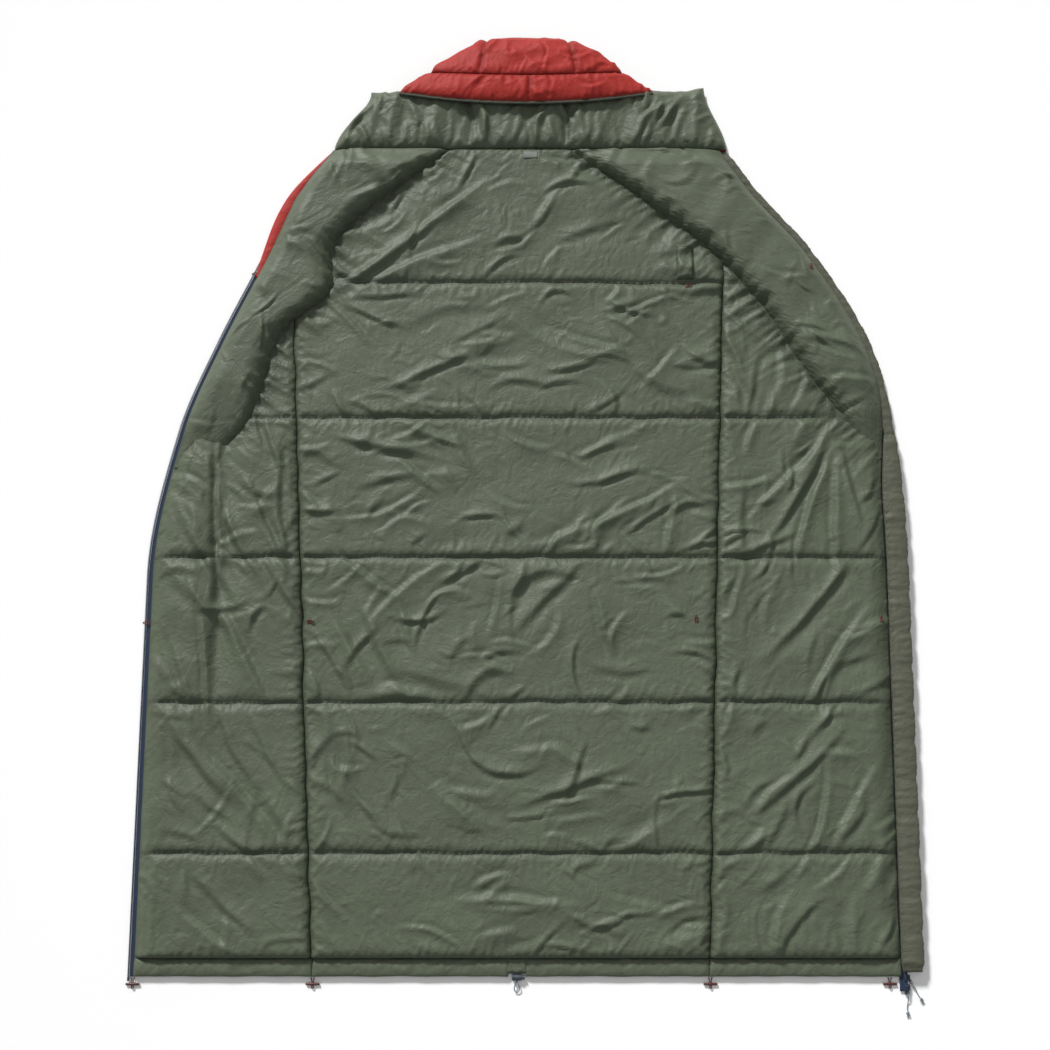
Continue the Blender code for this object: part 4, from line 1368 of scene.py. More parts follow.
RIGHT_FOLDS = (
    ray(0.655, 1.105, 250, 0.01, 0.30, 0.013, 0.0085, 0.5),
    ray(0.655, 1.105, 238, 0.02, 0.28, 0.014, 0.0085, 0.7, -1),
    ray(0.655, 1.105, 224, 0.03, 0.26, 0.013, 0.0070, 0.8),
    ray(0.655, 1.105, 268, 0.02, 0.30, 0.015, 0.0075, 0.4),
    ray(0.655, 1.105, 282, 0.02, 0.20, 0.012, 0.0065, -0.4, -1),
    ray(0.40, 1.400, 290, 0.02, 0.22, 0.014, 0.0070, 0.5),
    ray(0.40, 1.400, 318, 0.02, 0.14, 0.010, 0.0055, -0.5, -1),
    Fold(0.58, 0.720, math.radians(48), 0.32, 0.018, 0.0080, 0.7),
    Fold(0.64, 0.640, math.radians(56), 0.26, 0.014, 0.0070, 0.6, 0.5, -1),
    Fold(0.49, 0.860, math.radians(20), 0.20, 0.012, 0.0060, 1.2),
    Fold(0.56, 0.400, math.radians(42), 0.28, 0.014, 0.0065, 0.8),
    Fold(0.66, 0.330, math.radians(60), 0.22, 0.013, 0.0060, 0.8, 0.5, -1),
    Fold(0.48, 1.200, math.radians(78), 0.16, 0.012, 0.0060, 0.4),
)


# ---------------------------------------------------------------- quilted panels
@dataclass
class QuiltedPanel:
    """One closed quilted panel of lining over batting.

    Attributes:
        bag: the bag it belongs to.
        name: the piece's name.
        side: its side, or None for the back panel.
        seed: for its own folds.
    """

    bag: Bag
    name: str
    side: Side | None
    seed: int
    folds: tuple[Fold, ...] = ()
    crown: float = 0.0285
    seam_height: float = 0.0205
    side_height: float = 0.0165
    edge_height: float = 0.0075

    def build(self) -> bpy.types.Object:
        """Settles the lining over the batting and closes it below."""
        xs, ys = self._plane()
        base, seam = self._filling(xs, ys)
        pinned = rim_of(xs.shape)
        for line in QUILT_SEAMS:
            row = int(np.argmin(np.abs(ys[:, 0] - line)))
            if abs(ys[row, 0] - line) < 0.002:
                pinned[row] = True
        across, along, lift = self._spare(xs, ys)
        top = Cloth(self.bag.sewn(base), pinned, across, along, lift).fold(*steps(300, 160))
        bottom = self.bag.sewn(base)
        bottom[..., 2] = 0.0046
        uv = np.stack([xs, ys], -1)
        obj = closed_pad(self.name, top, bottom, uv, seam=seam)
        obj.data.materials.append(LINING.material())
        log.info("%s: %d points", self.name, len(obj.data.vertices))
        return obj

    def _plane(self) -> tuple[np.ndarray, np.ndarray]:
        """x and y of the net in the pattern.

        Returns:
            Both rows x columns, an even count of cells each way.
        """
        ys, low, high = self.bag.pattern.panel_rows(self.side, CELL)
        count = 2 * round(float((high - low).max()) / CELL / 2)
        u = np.linspace(0, 1, count + 1)
        xs = low[:, None] + (high - low)[:, None] * u
        return xs, np.repeat(ys[:, None], count + 1, 1)

    def _filling(self, xs: np.ndarray, ys: np.ndarray) -> tuple[np.ndarray, np.ndarray]:
        """The batting's upper surface: pillows between seams, with the laid-out cloth's folds on them.

        Args:
            xs, ys: rows x columns, in the pattern.

        Returns:
            rows x columns x 3, and each point's distance to its nearest seam, shortened beside the shoulder
            baffles, from which the material paints shade.
        """
        pattern = self.bag.pattern
        to_quilt, to_side = pattern.to_seams(self.side, xs, ys)
        wander = Noise(self.seed)
        reach = 0.020 * (1 + 0.45 * wander(xs / 0.09, ys / 0.09))
        height = np.minimum(
            self.seam_height + (self.crown - self.seam_height) * pillow(to_quilt, reach),
            self.side_height + (self.crown - self.side_height) * pillow(to_side, reach * 1.25))
        if self.side is not None:
            to_edge = pattern.panel_edge(self.side, ys) - self.side.value * xs
            height = np.minimum(height, self.edge_height
                                + (self.crown - self.edge_height) * pillow(to_edge, 0.05))
        soft = pillow(np.minimum(to_quilt, to_side), 0.10, 1.6)
        height += soft * (0.0040 * wander(xs / 0.17 + 5, ys / 0.17)
                          + 0.0022 * wander.folds(xs, ys, 20.0, 0.075, 0.26)) - 0.0015
        rise = pillow(np.minimum(to_quilt, to_side), 0.022, 1.5)
        for fold in self.folds:
            fold.add_to(height, xs, ys)
        for creases in (Creases(self.seed + 5, 26.0, (0.13, 0.30), (0.013, 0.024), (0.0035, 0.0075), 0.35),
                        Creases(self.seed + 6, 150.0),
                        Creases(self.seed + 7, 260.0, (0.025, 0.07), (0.005, 0.009), (0.0010, 0.0026), 0.9)):
            height += rise * creases.over(xs, ys, self._fold_angle)
        for side in Side:
            height += self._beside_band(side, xs, ys) * rise
        height += self._edge_roll(xs, ys) * rise
        height = np.maximum(height, 0.0075)
        cover = np.maximum(*(pattern.under_band(side, xs, ys) for side in Side))
        height += cover * (np.minimum(height, 0.0150) - height)
        # Painted shade: the distance passed on as 'seam' darkens the colour near each seam and, shortened
        # here, out to about 35 mm beside each shoulder baffle's inner edge, under its overhang.
        seam = np.minimum(to_quilt, to_side)
        for side in Side:
            start = BAND_START[side.index]
            away = np.abs(pattern.band(side, np.clip(ys, start, None)) - side.value * xs)
            seam = np.minimum(seam, 0.32 * away + 0.04 * smoothstep(start + 0.06, start - 0.08, ys))
        return np.stack([xs, ys, height], -1), seam

    def _beside_band(self, side: Side, xs: np.ndarray, ys: np.ndarray) -> np.ndarray:
        """The hollow along a shoulder baffle's inner seam, drawn into folds that run away from it.

        Args:
            side: the baffle's side.
            xs, ys: rows x columns, in the pattern.

        Returns:
            Its height, mostly below 0.
        """
        pattern, start = self.bag.pattern, BAND_START[side.index]
        away = pattern.band(side, np.clip(ys, start, None)) - side.value * xs
        reach = 0.050 + 0.025 * Noise(self.seed + 41)(ys / 0.10, xs / 0.30)
        near = np.exp(-np.clip(away, 0, None) / reach) * smoothstep(start - 0.16, start + 0.08, ys)
        return near * (0.015 * pattern.gathers(side, xs, ys) - 0.0175)

    def _edge_roll(self, xs: np.ndarray, ys: np.ndarray) -> np.ndarray:
        """The long hollow that carries on down the left front from the shoulder baffle.

        Args:
            xs, ys: rows x columns, in the pattern.

        Returns:
            Its height, below 0 in the hollow.
        """
        if self.side is not Side.LEFT:
            return np.zeros_like(xs)
        window = smoothstep(0.42, 0.80, ys) * smoothstep(1.20, 1.10, ys)
        away = xs + 0.634 - 0.008 * Noise(self.seed + 51)(ys / 0.12, ys * 0)
        hollow = np.exp(-(away / np.where(away < 0, 0.013, 0.030)) ** 2)
        roll = np.exp(-((xs + 0.678) / 0.028) ** 2)
        return window * (0.0065 * roll - 0.0150 * hollow)

    def _spare(self, xs: np.ndarray, ys: np.ndarray) -> tuple[np.ndarray, ...]:
        """Where the cloth is too large, and how its folds start.

        Args:
            xs, ys: rows x columns, in the pattern.

        Returns:
            Share of extra cloth across and along, and the first offset from the batting.
        """
        noise, other = Noise(self.seed + 1), Noise(self.seed + 2)
        to_quilt, to_side = self.bag.pattern.to_seams(self.side, xs, ys)
        patch = np.clip(0.9 + 0.9 * noise(xs / 0.16, ys / 0.16), 0.1, 2.0)
        gather_x = 0.055 * np.exp(-to_quilt / 0.016) * np.clip(1 + 0.8 * other(xs / 0.2, ys / 0.05), 0.2, 2)
        gather_y = 0.060 * np.exp(-to_side / 0.018)
        across = 0.004 * patch + gather_x
        along = 0.004 * patch + gather_y
        lift = (0.0008 * noise(xs / 0.016, ys / 0.016)
                + 0.0030 * noise(xs / 0.016, ys / 0.06) * np.exp(-to_quilt / 0.025)
                + 0.0030 * other(xs / 0.06, ys / 0.016) * np.exp(-to_side / 0.025))
        return across, along, lift

    def _fold_angle(self, x: float, y: float) -> float:
        """Direction of the long folds.

        Args:
            x, y: where, in the pattern.

        Returns:
            Radians from +x.
        """
        wander = float(Noise(self.seed + 3)(np.array(x / 0.45), np.array(y / 0.45)))
        if self.side is Side.LEFT:
            return math.radians(-58 + 22 * wander)
        if self.side is Side.RIGHT:
            return math.radians(55 + 25 * wander)
        steep = float(smoothstep(-0.05, -0.30, x) * smoothstep(0.75, 0.45, y))
        return math.radians((1 - steep) * (12 + 45 * wander) + steep * -62)


@dataclass
class Lining:
    """The three quilted panels, meeting at the side seams."""

    bag: Bag

    def build(self) -> list[bpy.types.Object]:
        """Makes the back panel and both fronts, and returns them."""
        made = []
        back = QuiltedPanel(self.bag, "back_quilt", None, 11, BACK_FOLDS).build()
        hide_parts("back_lining", "back_insulation")
        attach(back, "back")
        made.append(back)
        for side in Side:
            word = side.word
            folds = LEFT_FOLDS if side is Side.LEFT else RIGHT_FOLDS
            quilt = QuiltedPanel(self.bag, f"{word}_front_quilt", side, 31 + 20 * side.index, folds).build()
            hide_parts(f"{word}_front_lining", f"{word}_front_insulation")
            self.bag.bend(quilt, side)
            made.append(quilt)
        return made


# ---------------------------------------------------------------- shoulder baffles
@dataclass
class ShoulderBaffle:
    """The stuffed flap from the neck down one front edge, in one piece over the side seam."""

    bag: Bag
    side: Side
    seed: int
    crown: float = 0.0310       # of its stuffing, over the panel
    floor: float = 0.0165

    def build(self) -> bpy.types.Object:
        """Settles its cloth round the stuffing."""
        pattern, side = self.bag.pattern, self.side
        start = BAND_START[side.index] - 0.030
        ys = segments([start, BODY_LENGTH - 0.003], CELL)
        outer = pattern.edge(side, ys, pattern.slab_inset(side, ys) + 0.002)
        inner = pattern.band(side, ys) + 0.004 * Noise(self.seed)(ys / 0.09, ys * 0)
        width = np.maximum(outer - inner, 0.02)
        top = np.linspace(0, math.pi, 2 * round(float(width.max()) / CELL / 1.7) + 1)
        low = np.linspace(math.pi, 2 * math.pi, 17)[1:-1]
        turn = np.concatenate([top, low, [2 * math.pi]])
        share = 0.5 * (1 - np.cos(turn))
        away = width[:, None] * share
        plump = self._plump(ys)[:, None]
        under = turn > math.pi
        from_inner = width[:, None] * (1 - share)
        slope = 0.052 + 0.012 * Noise(self.seed + 12)(ys / 0.13, ys * 0)[:, None]
        bulge = pillow(from_inner, slope, 1.7) * pillow(away, 0.045, 2.0)
        emerge = smoothstep(ys[0], ys[0] + 0.11, ys)[:, None]
        floor = 0.0080 + (self.floor - 0.0080) * smoothstep(0.0, 0.030, from_inner) * emerge
        height = floor + np.where(under, -0.0010 * np.abs(np.sin(turn)), plump * bulge)
        xs = side.value * (outer[:, None] - away)
        flat_y = np.repeat(ys[:, None], len(turn), 1)
        slopes = bulge * (1 - bulge) * 4
        height = height + np.where(under, 0, self._folds(xs, flat_y, share) * bulge
                                   + 0.0130 * slopes * emerge * smoothstep(0.4, 0.7, share)
                                   * (pattern.gathers(side, xs, flat_y) - 0.55))
        base = np.stack([xs, flat_y, height], -1)
        if side is Side.LEFT:
            base = base[:, ::-1]
            share, under = share[::-1], under[::-1]
        pinned = rim_of(xs.shape) | under
        noise, other = Noise(self.seed + 1), Noise(self.seed + 2)
        edge = np.exp(-np.minimum(share, 1 - share) * width.mean() / 0.03)
        inner = smoothstep(0.55, 1.0, share)
        uneven = np.clip(1 + 0.9 * noise(flat_y / 0.12, flat_y * 0), 0.2, 2)
        along = 0.002 + 0.045 * (edge * inner)[None] * uneven
        across = np.full_like(along, 0.002)
        lift = (0.0040 * noise(xs / 0.06, flat_y / 0.024) * inner[None]
                + 0.0006 * other(xs / 0.02, flat_y / 0.02))
        base = self.bag.place(base)
        cloth = Cloth(base, pinned, across, along, lift, most=0.008)
        settled = cloth.settle(sum(steps(120, 120)))
        to_outer, to_inner = share * width[:, None], (1 - share) * width[:, None]
        # Painted shade: the 'seam' distance darkens the flap within about 7 mm of its outer edge and out to
        # about 26 mm from its inner edge, where it rolls over the panel.
        seam = np.broadcast_to(np.minimum(to_outer + 0.004, 0.42 * to_inner), xs.shape)
        run = np.cumsum(np.r_[0, np.abs(np.diff(share))])[None] * width.mean()
        uv = np.stack([np.broadcast_to(run, xs.shape), flat_y], -1)
        name = f"{side.word}_shoulder_flap"
        obj = ring_piece(name, settled[:, :-1], uv[:, :-1], seam=seam[:, :-1])
        obj.data.materials.append(LINING.material())
        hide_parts(f"{side.word}_shoulder_baffle", f"{side.word}_front_baffle")
        self.bag.bend(obj, side)
        log.info("%s: %d points", name, len(obj.data.vertices))
        return obj

    def _plump(self, ys: np.ndarray) -> np.ndarray:
        """Height of its stuffing along it: thin where it starts, full above, held down at the neck.

        Args:
            ys: along the bag.

        Returns:
            The height at each.
        """
        start = BAND_START[self.side.index]
        rise = smoothstep(start - 0.03, start + 0.16, ys)
        neck = smoothstep(BODY_LENGTH, BODY_LENGTH - 0.05, ys)
        wave = 1 + 0.12 * Noise(self.seed + 4)(ys / 0.11, ys * 0)
        return self.crown * (0.10 + 0.90 * rise) * (0.40 + 0.60 * neck) * wave

    def _folds(self, xs: np.ndarray, ys: np.ndarray, share: np.ndarray) -> np.ndarray:
        """Folds across the flap and round its inner edge.

        Args:
            xs, ys: rows x columns, in the pattern.
            share: of the flap's width, 0 at its outer edge.

        Returns:
            Height of the folds.
        """
        flat = np.abs(xs)

        def heading(_: float, y: float) -> float:
            """Square to the baffle, steeper towards the neck."""
            return math.radians(28 + 30 * (y - 1.1))
        order = slice(None, None, -1) if flat[0, 0] > flat[0, -1] else slice(None)
        total = np.zeros_like(flat)
        turned = flat[:, order]
        for creases in (Creases(self.seed + 7, 75.0, (0.08, 0.20), (0.009, 0.018), (0.0040, 0.0085), 0.5),
                        Creases(self.seed + 8, 220.0, (0.04, 0.10), (0.005, 0.010), (0.0024, 0.0052), 0.8)):
            total += creases.over(turned, ys, heading)[:, order]
        gathers = Noise(self.seed + 9)(ys / 0.016, flat / 0.08)
        long = Noise(self.seed + 10).folds(xs, ys, 90.0 - 35.0 * self.side.value, 0.060, 0.16)
        return total + 0.0034 * long + 0.0012 * gathers * smoothstep(0.62, 1.0, share)


# ---------------------------------------------------------------- shells
@dataclass
class ShellSheet:
    """The outer cloth under one panel, drawn up a little at each quilt seam."""

    bag: Bag
    name: str
    side: Side | None
    seed: int

    def build(self) -> bpy.types.Object:
        """Lays the sheet under its panel."""
        pattern = self.bag.pattern
        ys, low, high = pattern.panel_rows(self.side, SHEET_CELL)
        count = round(float((high - low).max()) / SHEET_CELL)
        xs = low[:, None] + (high - low)[:, None] * np.linspace(0, 1, count + 1)
        flat_y = np.repeat(ys[:, None], count + 1, 1)
        seam = np.minimum(*pattern.to_seams(self.side, xs, flat_y))
        noise = Noise(self.seed)
        drawn = np.exp(-seam / 0.012)
        height = 0.0011 + 0.0020 * drawn + 0.0006 * (1 - drawn) * (1 + noise(xs / 0.03, flat_y / 0.05))
        points = self.bag.place(np.stack([xs, flat_y, height], -1))
        faces = grid_faces(*xs.shape, flip=True)
        uv = np.stack([xs, flat_y], -1).reshape(-1, 2)
        # The 'seam' distance also paints shade into the shell's colour within about 11 mm of each seam.
        obj = new_mesh(self.name, points.reshape(-1, 3), faces, uv, seam=seam.ravel())
        obj.data.materials.append(SHELL.material())
        return obj


@dataclass
class Shell:
    """The outer cloth of the body, and the strip of it that rolls out past the left shoulder."""

    bag: Bag

    def build(self) -> None:
        """Lays all three sheets and the rolled strip."""
        back = ShellSheet(self.bag, "back_shell_cloth", None, 71).build()
        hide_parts("back_shell")
        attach(back, "back")
        for side in Side:
            sheet = ShellSheet(self.bag, f"{side.word}_front_shell_cloth", side, 73 + side.index).build()
            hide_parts(f"{side.word}_front_shell")
            self.bag.bend(sheet, side)
        self._roll()

    def _roll(self) -> None:
        """The strip of shell past the left shoulder's edge."""
        pattern = self.bag.pattern
        ys = segments([1.455, 1.742], 0.005)
        edge = pattern.edge(Side.LEFT, ys, 0.016)
        bulge = 0.019 * np.sin(math.pi * np.clip((ys - 1.455) / 0.287, 0, 1)) ** 0.8
        turn = np.linspace(0, 2 * math.pi, 17)[:-1]
        noise = Noise(77)
        middle = -(edge + (bulge + 0.010) / 2 - 0.004)
        half = (bulge + 0.012) / 2
        thick = 0.0052 * (1 + 0.2 * noise(ys / 0.02, ys * 0))
        rings = np.stack([middle[:, None] + half[:, None] * np.cos(turn), np.repeat(ys[:, None], 16, 1),
                          0.0062 + thick[:, None] * np.sin(turn)], -1)
        uv = np.stack([np.broadcast_to(turn * 0.008, rings.shape[:2]), rings[..., 1]], -1)
        obj = ring_piece("left_shell_roll", self.bag.place(rings), uv, flip=True,
                         seam=np.full(rings.shape[:2], 0.03))
        obj.data.materials.append(SHELL.material())
        self.bag.bend(obj, Side.LEFT)


# ---------------------------------------------------------------- foot hem
@dataclass
class HemTunnel:
    """One stretch of the drawcord casing along the foot, puckered at its seam."""

    bag: Bag
    node: str
    start: float
    stop: float
    seed: int
    side: Side | None

    def build(self) -> None:
        """Gathers the casing and closes its ends."""
        xs = segments([self.start, self.stop], 0.0040)
        turn = circle(28)
        noise, other = Noise(self.seed), Noise(self.seed + 1)
        flat = np.repeat(xs[:, None], len(turn), 1)
        around = np.broadcast_to(turn, flat.shape)
        pucker = noise(flat / 0.021, around / 1.1) * 0.62 + other(flat / 0.010, around / 0.9) * 0.30
        seam_side = 0.5 + 0.5 * np.cos(around)
        half = 0.0182 + 0.0012 * noise(flat / 0.055, around * 0) - 0.0004
        thick = 0.0066 * (1 + 0.18 * other(flat / 0.07, around * 0)) * (1 - 0.25 * seam_side)
        thick = thick + 0.0024 * pucker * (0.45 + 0.55 * seam_side)
        ends = smoothstep(0, 0.006, np.minimum(flat - xs[0], xs[-1] - flat))
        thick = thick * (0.72 + 0.28 * ends)
        bulge = np.sign(np.sin(around)) * np.abs(np.sin(around)) ** 0.75
        height = 0.0072 + np.maximum(thick, 0.0022) * bulge
        ys = HEM_DEPTH / 2 + half * np.cos(around)
        rings = np.stack([flat, ys, np.maximum(height, 0.0004)], -1)
        # Painted shade: the 'seam' distance darkens the casing within about 9 mm of its sewn upper edge.
        seam = np.abs(HEM_DEPTH - ys) + 0.002
        obj = ring_piece(self.node + "_casing", self.bag.place(rings),
                         np.stack([flat, around * 0.013], -1), flip=True, seam=seam)
        obj.data.materials.append(LINING.material())
        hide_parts(self.node)
        if self.side is None:
            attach(obj, "back")
        else:
            self.bag.bend(obj, self.side)


@dataclass
class FootHem:
    """All four stretches of the casing, with the gap for the cord lock."""

    bag: Bag

    def build(self) -> None:
        """Makes the casing from side to side."""
        pattern = self.bag.pattern
        left, right = (side.value * float(pattern.fold(side, 0.018)) for side in Side)
        far_left = -float(pattern.panel_edge(Side.LEFT, 0.0))
        far_right = float(pattern.panel_edge(Side.RIGHT, 0.0))
        mouth = (HEM_MOUTH_X - HEM_MOUTH / 2, HEM_MOUTH_X + HEM_MOUTH / 2)
        for node, start, stop, seed, side in (
                ("left_front_hem", far_left, left - GAP, 131, Side.LEFT),
                ("back_hem_left", left + GAP, mouth[0], 133, None),
                ("back_hem_right", mouth[1], right - GAP, 135, None),
                ("right_front_hem", right + GAP, far_right, 137, Side.RIGHT)):
            HemTunnel(self.bag, node, start, stop, seed, side).build()
        self._mouth(*mouth)

    def _mouth(self, left: float, right: float) -> None:
        """The facing over the gap where the drawcord comes out.

        Args:
            left, right: the gap's ends, in the pattern.
        """
        us, vs = np.linspace(left - 0.004, right + 0.004, 41), np.linspace(0.0062, HEM_DEPTH + 0.0005, 31)
        xs, ys = np.meshgrid(us, vs)
        inside = np.minimum(np.minimum(xs - us[0], us[-1] - xs), np.minimum(ys - vs[0], vs[-1] - ys))
        height = 0.0098 + 0.0034 * pillow(inside, 0.008) + 0.0008 * Noise(141)(xs / 0.006, ys / 0.03)
        top = self.bag.place(np.stack([xs, ys, height], -1))
        bottom = top.copy()
        bottom[..., 2] = 0.0094
        # Painted shade: 'seam' set to the distance from the facing's rim darkens it within about 11 mm of its
        # edges.
        obj = closed_pad("hem_mouth_facing", top, bottom, np.stack([xs, ys], -1), seam=inside)
        obj.data.materials.append(LINING.material())
        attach(obj, "back")


# ---------------------------------------------------------------- zip and its draft tube
@dataclass
class ZipHalf:
    """One half of the zip: woven tape with a corded edge, its coil, and the rows of stitches that hold it."""

    bag: Bag
    side: Side

    def build(self) -> None:
        """Makes the tape, coil and stitches."""
        pattern, side = self.bag.pattern, self.side
        start = 0.0 if side is Side.LEFT else -ZIP_TAIL
        ys = np.linspace(start, pattern.meeting(side, 0.0, 0.006), 340)
        inset = pattern.slab_inset(side, ys)
        inner = pattern.edge(side, ys, inset + 0.003)
        outer = pattern.edge(side, ys, inset - ZIP_TAPE + GAP)
        profile = np.array([
            (0, 0), (0.25, 0), (0.5, 0), (0.8, 0), (0.92, -0.0002), (1, 0.0003), (1, 0.0009),
            (0.92, 0.0014), (0.8, 0.0010), (0.5, 0.0010), (0.25, 0.0010), (0, 0.0010)])
        xs = inner[:, None] + (outer - inner)[:, None] * profile[:, 0]
        wave = 0.0004 * Noise(151 + side.index)(ys / 0.05, ys * 0)[:, None]
        rings = np.stack([side.value * xs, np.repeat(ys[:, None], len(profile), 1),
                          TAPE_Z + profile[:, 1] + wave], -1)
        uv = np.stack([xs, rings[..., 1]], -1)
        tape = ring_piece(f"{side.word}_tape_woven", self.bag.place(rings), uv, flip=side is Side.LEFT,
                          seam=np.full(xs.shape, 0.03))
        tape.data.materials.append(TAPE.material())
        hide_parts(f"{side.word}_zip_tape")
        self.bag.bend(tape, side)
        coil = self._coil(ys)
        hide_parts(f"{side.word}_zip_coil")
        self.bag.bend(coil, side)
        rows = []
        for share in (0.30, 0.86):
            x = inner + (outer - inner) * share
            rows.append(self.bag.place(np.stack([side.value * x, ys, np.full_like(ys, TAPE_Z + 0.0012)], -1)))
        thread = stitches(f"{side.word}_zip_stitches", rows, 0.0030, 0.0022, 0.00025)
        thread.data.materials.append(THREAD_NAVY.material())
        self.bag.bend(thread, side)

    def _coil(self, ys: np.ndarray) -> bpy.types.Object:
        """A wound nylon coil: one flattened monofilament, carried round a circle as it moves along the edge.

        Args:
            ys: along the edge, in the pattern.

        Returns:
            The coil.
        """
        pattern, side = self.bag.pattern, self.side
        pitch, wire = 0.0021, 0.00050
        inset = pattern.slab_inset(side, ys)
        x = side.value * pattern.edge(side, ys, inset - ZIP_TAPE - COIL_RADIUS)
        run = np.concatenate([[0], np.cumsum(np.hypot(np.diff(x), np.diff(ys)))])
        turns = run[-1] / pitch
        angle = np.linspace(0, 2 * math.pi * turns, round(turns * 9))
        at = angle / (2 * math.pi) * pitch
        path = np.stack([np.interp(at, run, x) + (COIL_RADIUS - wire) * np.cos(angle),
                         np.interp(at, run, ys), COIL_HEIGHT + (0.0021 - wire) * np.sin(angle)], -1)
        ahead = np.gradient(path, axis=0)
        ahead /= np.linalg.norm(ahead, axis=1, keepdims=True)
        out = np.stack([np.cos(angle), np.zeros_like(angle), np.sin(angle)], -1)
        out -= ahead * (out * ahead).sum(-1, keepdims=True)
        out /= np.linalg.norm(out, axis=1, keepdims=True)
        other = np.cross(ahead, out)
        turn = circle(5)
        rings = path[:, None] + wire * (out[:, None] * np.cos(turn)[None, :, None]
                                        + 1.35 * other[:, None] * np.sin(turn)[None, :, None])
        obj = ring_piece(f"{side.word}_coil_wound", self.bag.place(rings))
        obj.data.materials.append(COIL.material())
        return obj


@dataclass
class EdgeTube:
    """A stuffed tube of lining along the right edge, scalloped where it is tacked down.

    Attributes:
        bag: the bag.
        name: the piece's name.
        ys: where it starts and stops.
        width: widths at both ends, or None to reach the panel.
        low, high: heights of its underside and top.
        seed: for its puckers.
    """

    bag: Bag
    name: str
    ys: tuple[float, float]
    width: tuple[float, float] | None
    low: float
    high: float
    seed: int

    def build(self) -> bpy.types.Object:
        """Settles the cloth round the tube."""
        pattern = self.bag.pattern
        ys = segments(self.ys, 0.0046)
        share = (ys - ys[0]) / (ys[-1] - ys[0])
        if self.width is None:
            width = pattern.slab_inset(Side.RIGHT, ys) + 0.0015
        else:
            width = self.width[0] + (self.width[1] - self.width[0]) * share
        outer = pattern.edge(Side.RIGHT, ys, 0.0008)
        ends = smoothstep(0, 0.022, np.minimum(ys - ys[0], ys[-1] - ys))
        noise, other = Noise(self.seed), Noise(self.seed + 1)
        tack = 0.5 + 0.5 * np.cos(2 * math.pi * (ys - ys[0]) / 0.075 + 1.5 * noise(ys / 0.2, ys * 0))
        half = width / 2 * (0.90 + 0.10 * ends) * (1 - 0.05 * tack ** 4)
        turn = np.linspace(0, 2 * math.pi, 37)
        middle = outer - width / 2 - 0.0008 * tack ** 4
        flat_y = np.repeat(ys[:, None], len(turn), 1)
        thick = (self.high - self.low) / 2 * (0.25 + 0.75 * ends) * (1 - 0.22 * tack ** 3)
        bulge = np.sign(np.sin(turn)) * np.abs(np.sin(turn)) ** 0.7
        xs = middle[:, None] + half[:, None] * -np.cos(turn)
        height = (self.low + self.high) / 2 + thick[:, None] * bulge
        base = np.stack([xs, flat_y, height], -1)
        pinned = rim_of(xs.shape)
        pinned[:, len(turn) // 2 + 4:-3] = True
        edge = np.exp(-np.abs(turn) / 0.6)[None] + 0.7 * np.exp(-np.abs(turn - math.pi) / 0.5)[None]
        along = 0.012 + 0.075 * edge * np.clip(1 + noise(flat_y / 0.1, flat_y * 0), 0.2, 2)
        lift = 0.0026 * other(flat_y / 0.017, np.broadcast_to(turn, xs.shape) / 1.2) * edge
        cloth = Cloth(self.bag.place(base), pinned, np.full_like(along, 0.01), along, lift,
                      most=0.005, bend=0.25)
        settled = cloth.settle(sum(steps(90, 90)))
        # Painted shade: the 'seam' distance darkens the tube within about 10 mm of its inner side, where it
        # meets the panel.
        seam = np.minimum(np.abs(xs - (middle - half)[:, None]), 0.03) + 0.0015
        uv = np.stack([np.broadcast_to(turn * 0.016, xs.shape), flat_y], -1)
        obj = ring_piece(self.name, settled[:, :-1], uv[:, :-1], seam=seam[:, :-1])
        obj.data.materials.append(EDGING.material())
        log.info("%s: %d points", self.name, len(obj.data.vertices))
        return obj


@dataclass
class ZipEdges:
    """Both halves of the zip, the draft tube and the facing that carries on above it."""

    bag: Bag

    def build(self) -> None:
        """Makes everything along the front edges."""
        for side in Side:
            ZipHalf(self.bag, side).build()
        tube = EdgeTube(self.bag, "draft_tube_stuffed", (0.010, 1.10), None, 0.0134, 0.0262, 161).build()
        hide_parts("draft_tube")
        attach(tube, "right_front")
        facing = EdgeTube(self.bag, "right_edge_facing", (1.055, 1.744), (0.023, 0.020), 0.0078, 0.0165,
                          171).build()
        self.bag.bend(facing, Side.RIGHT)


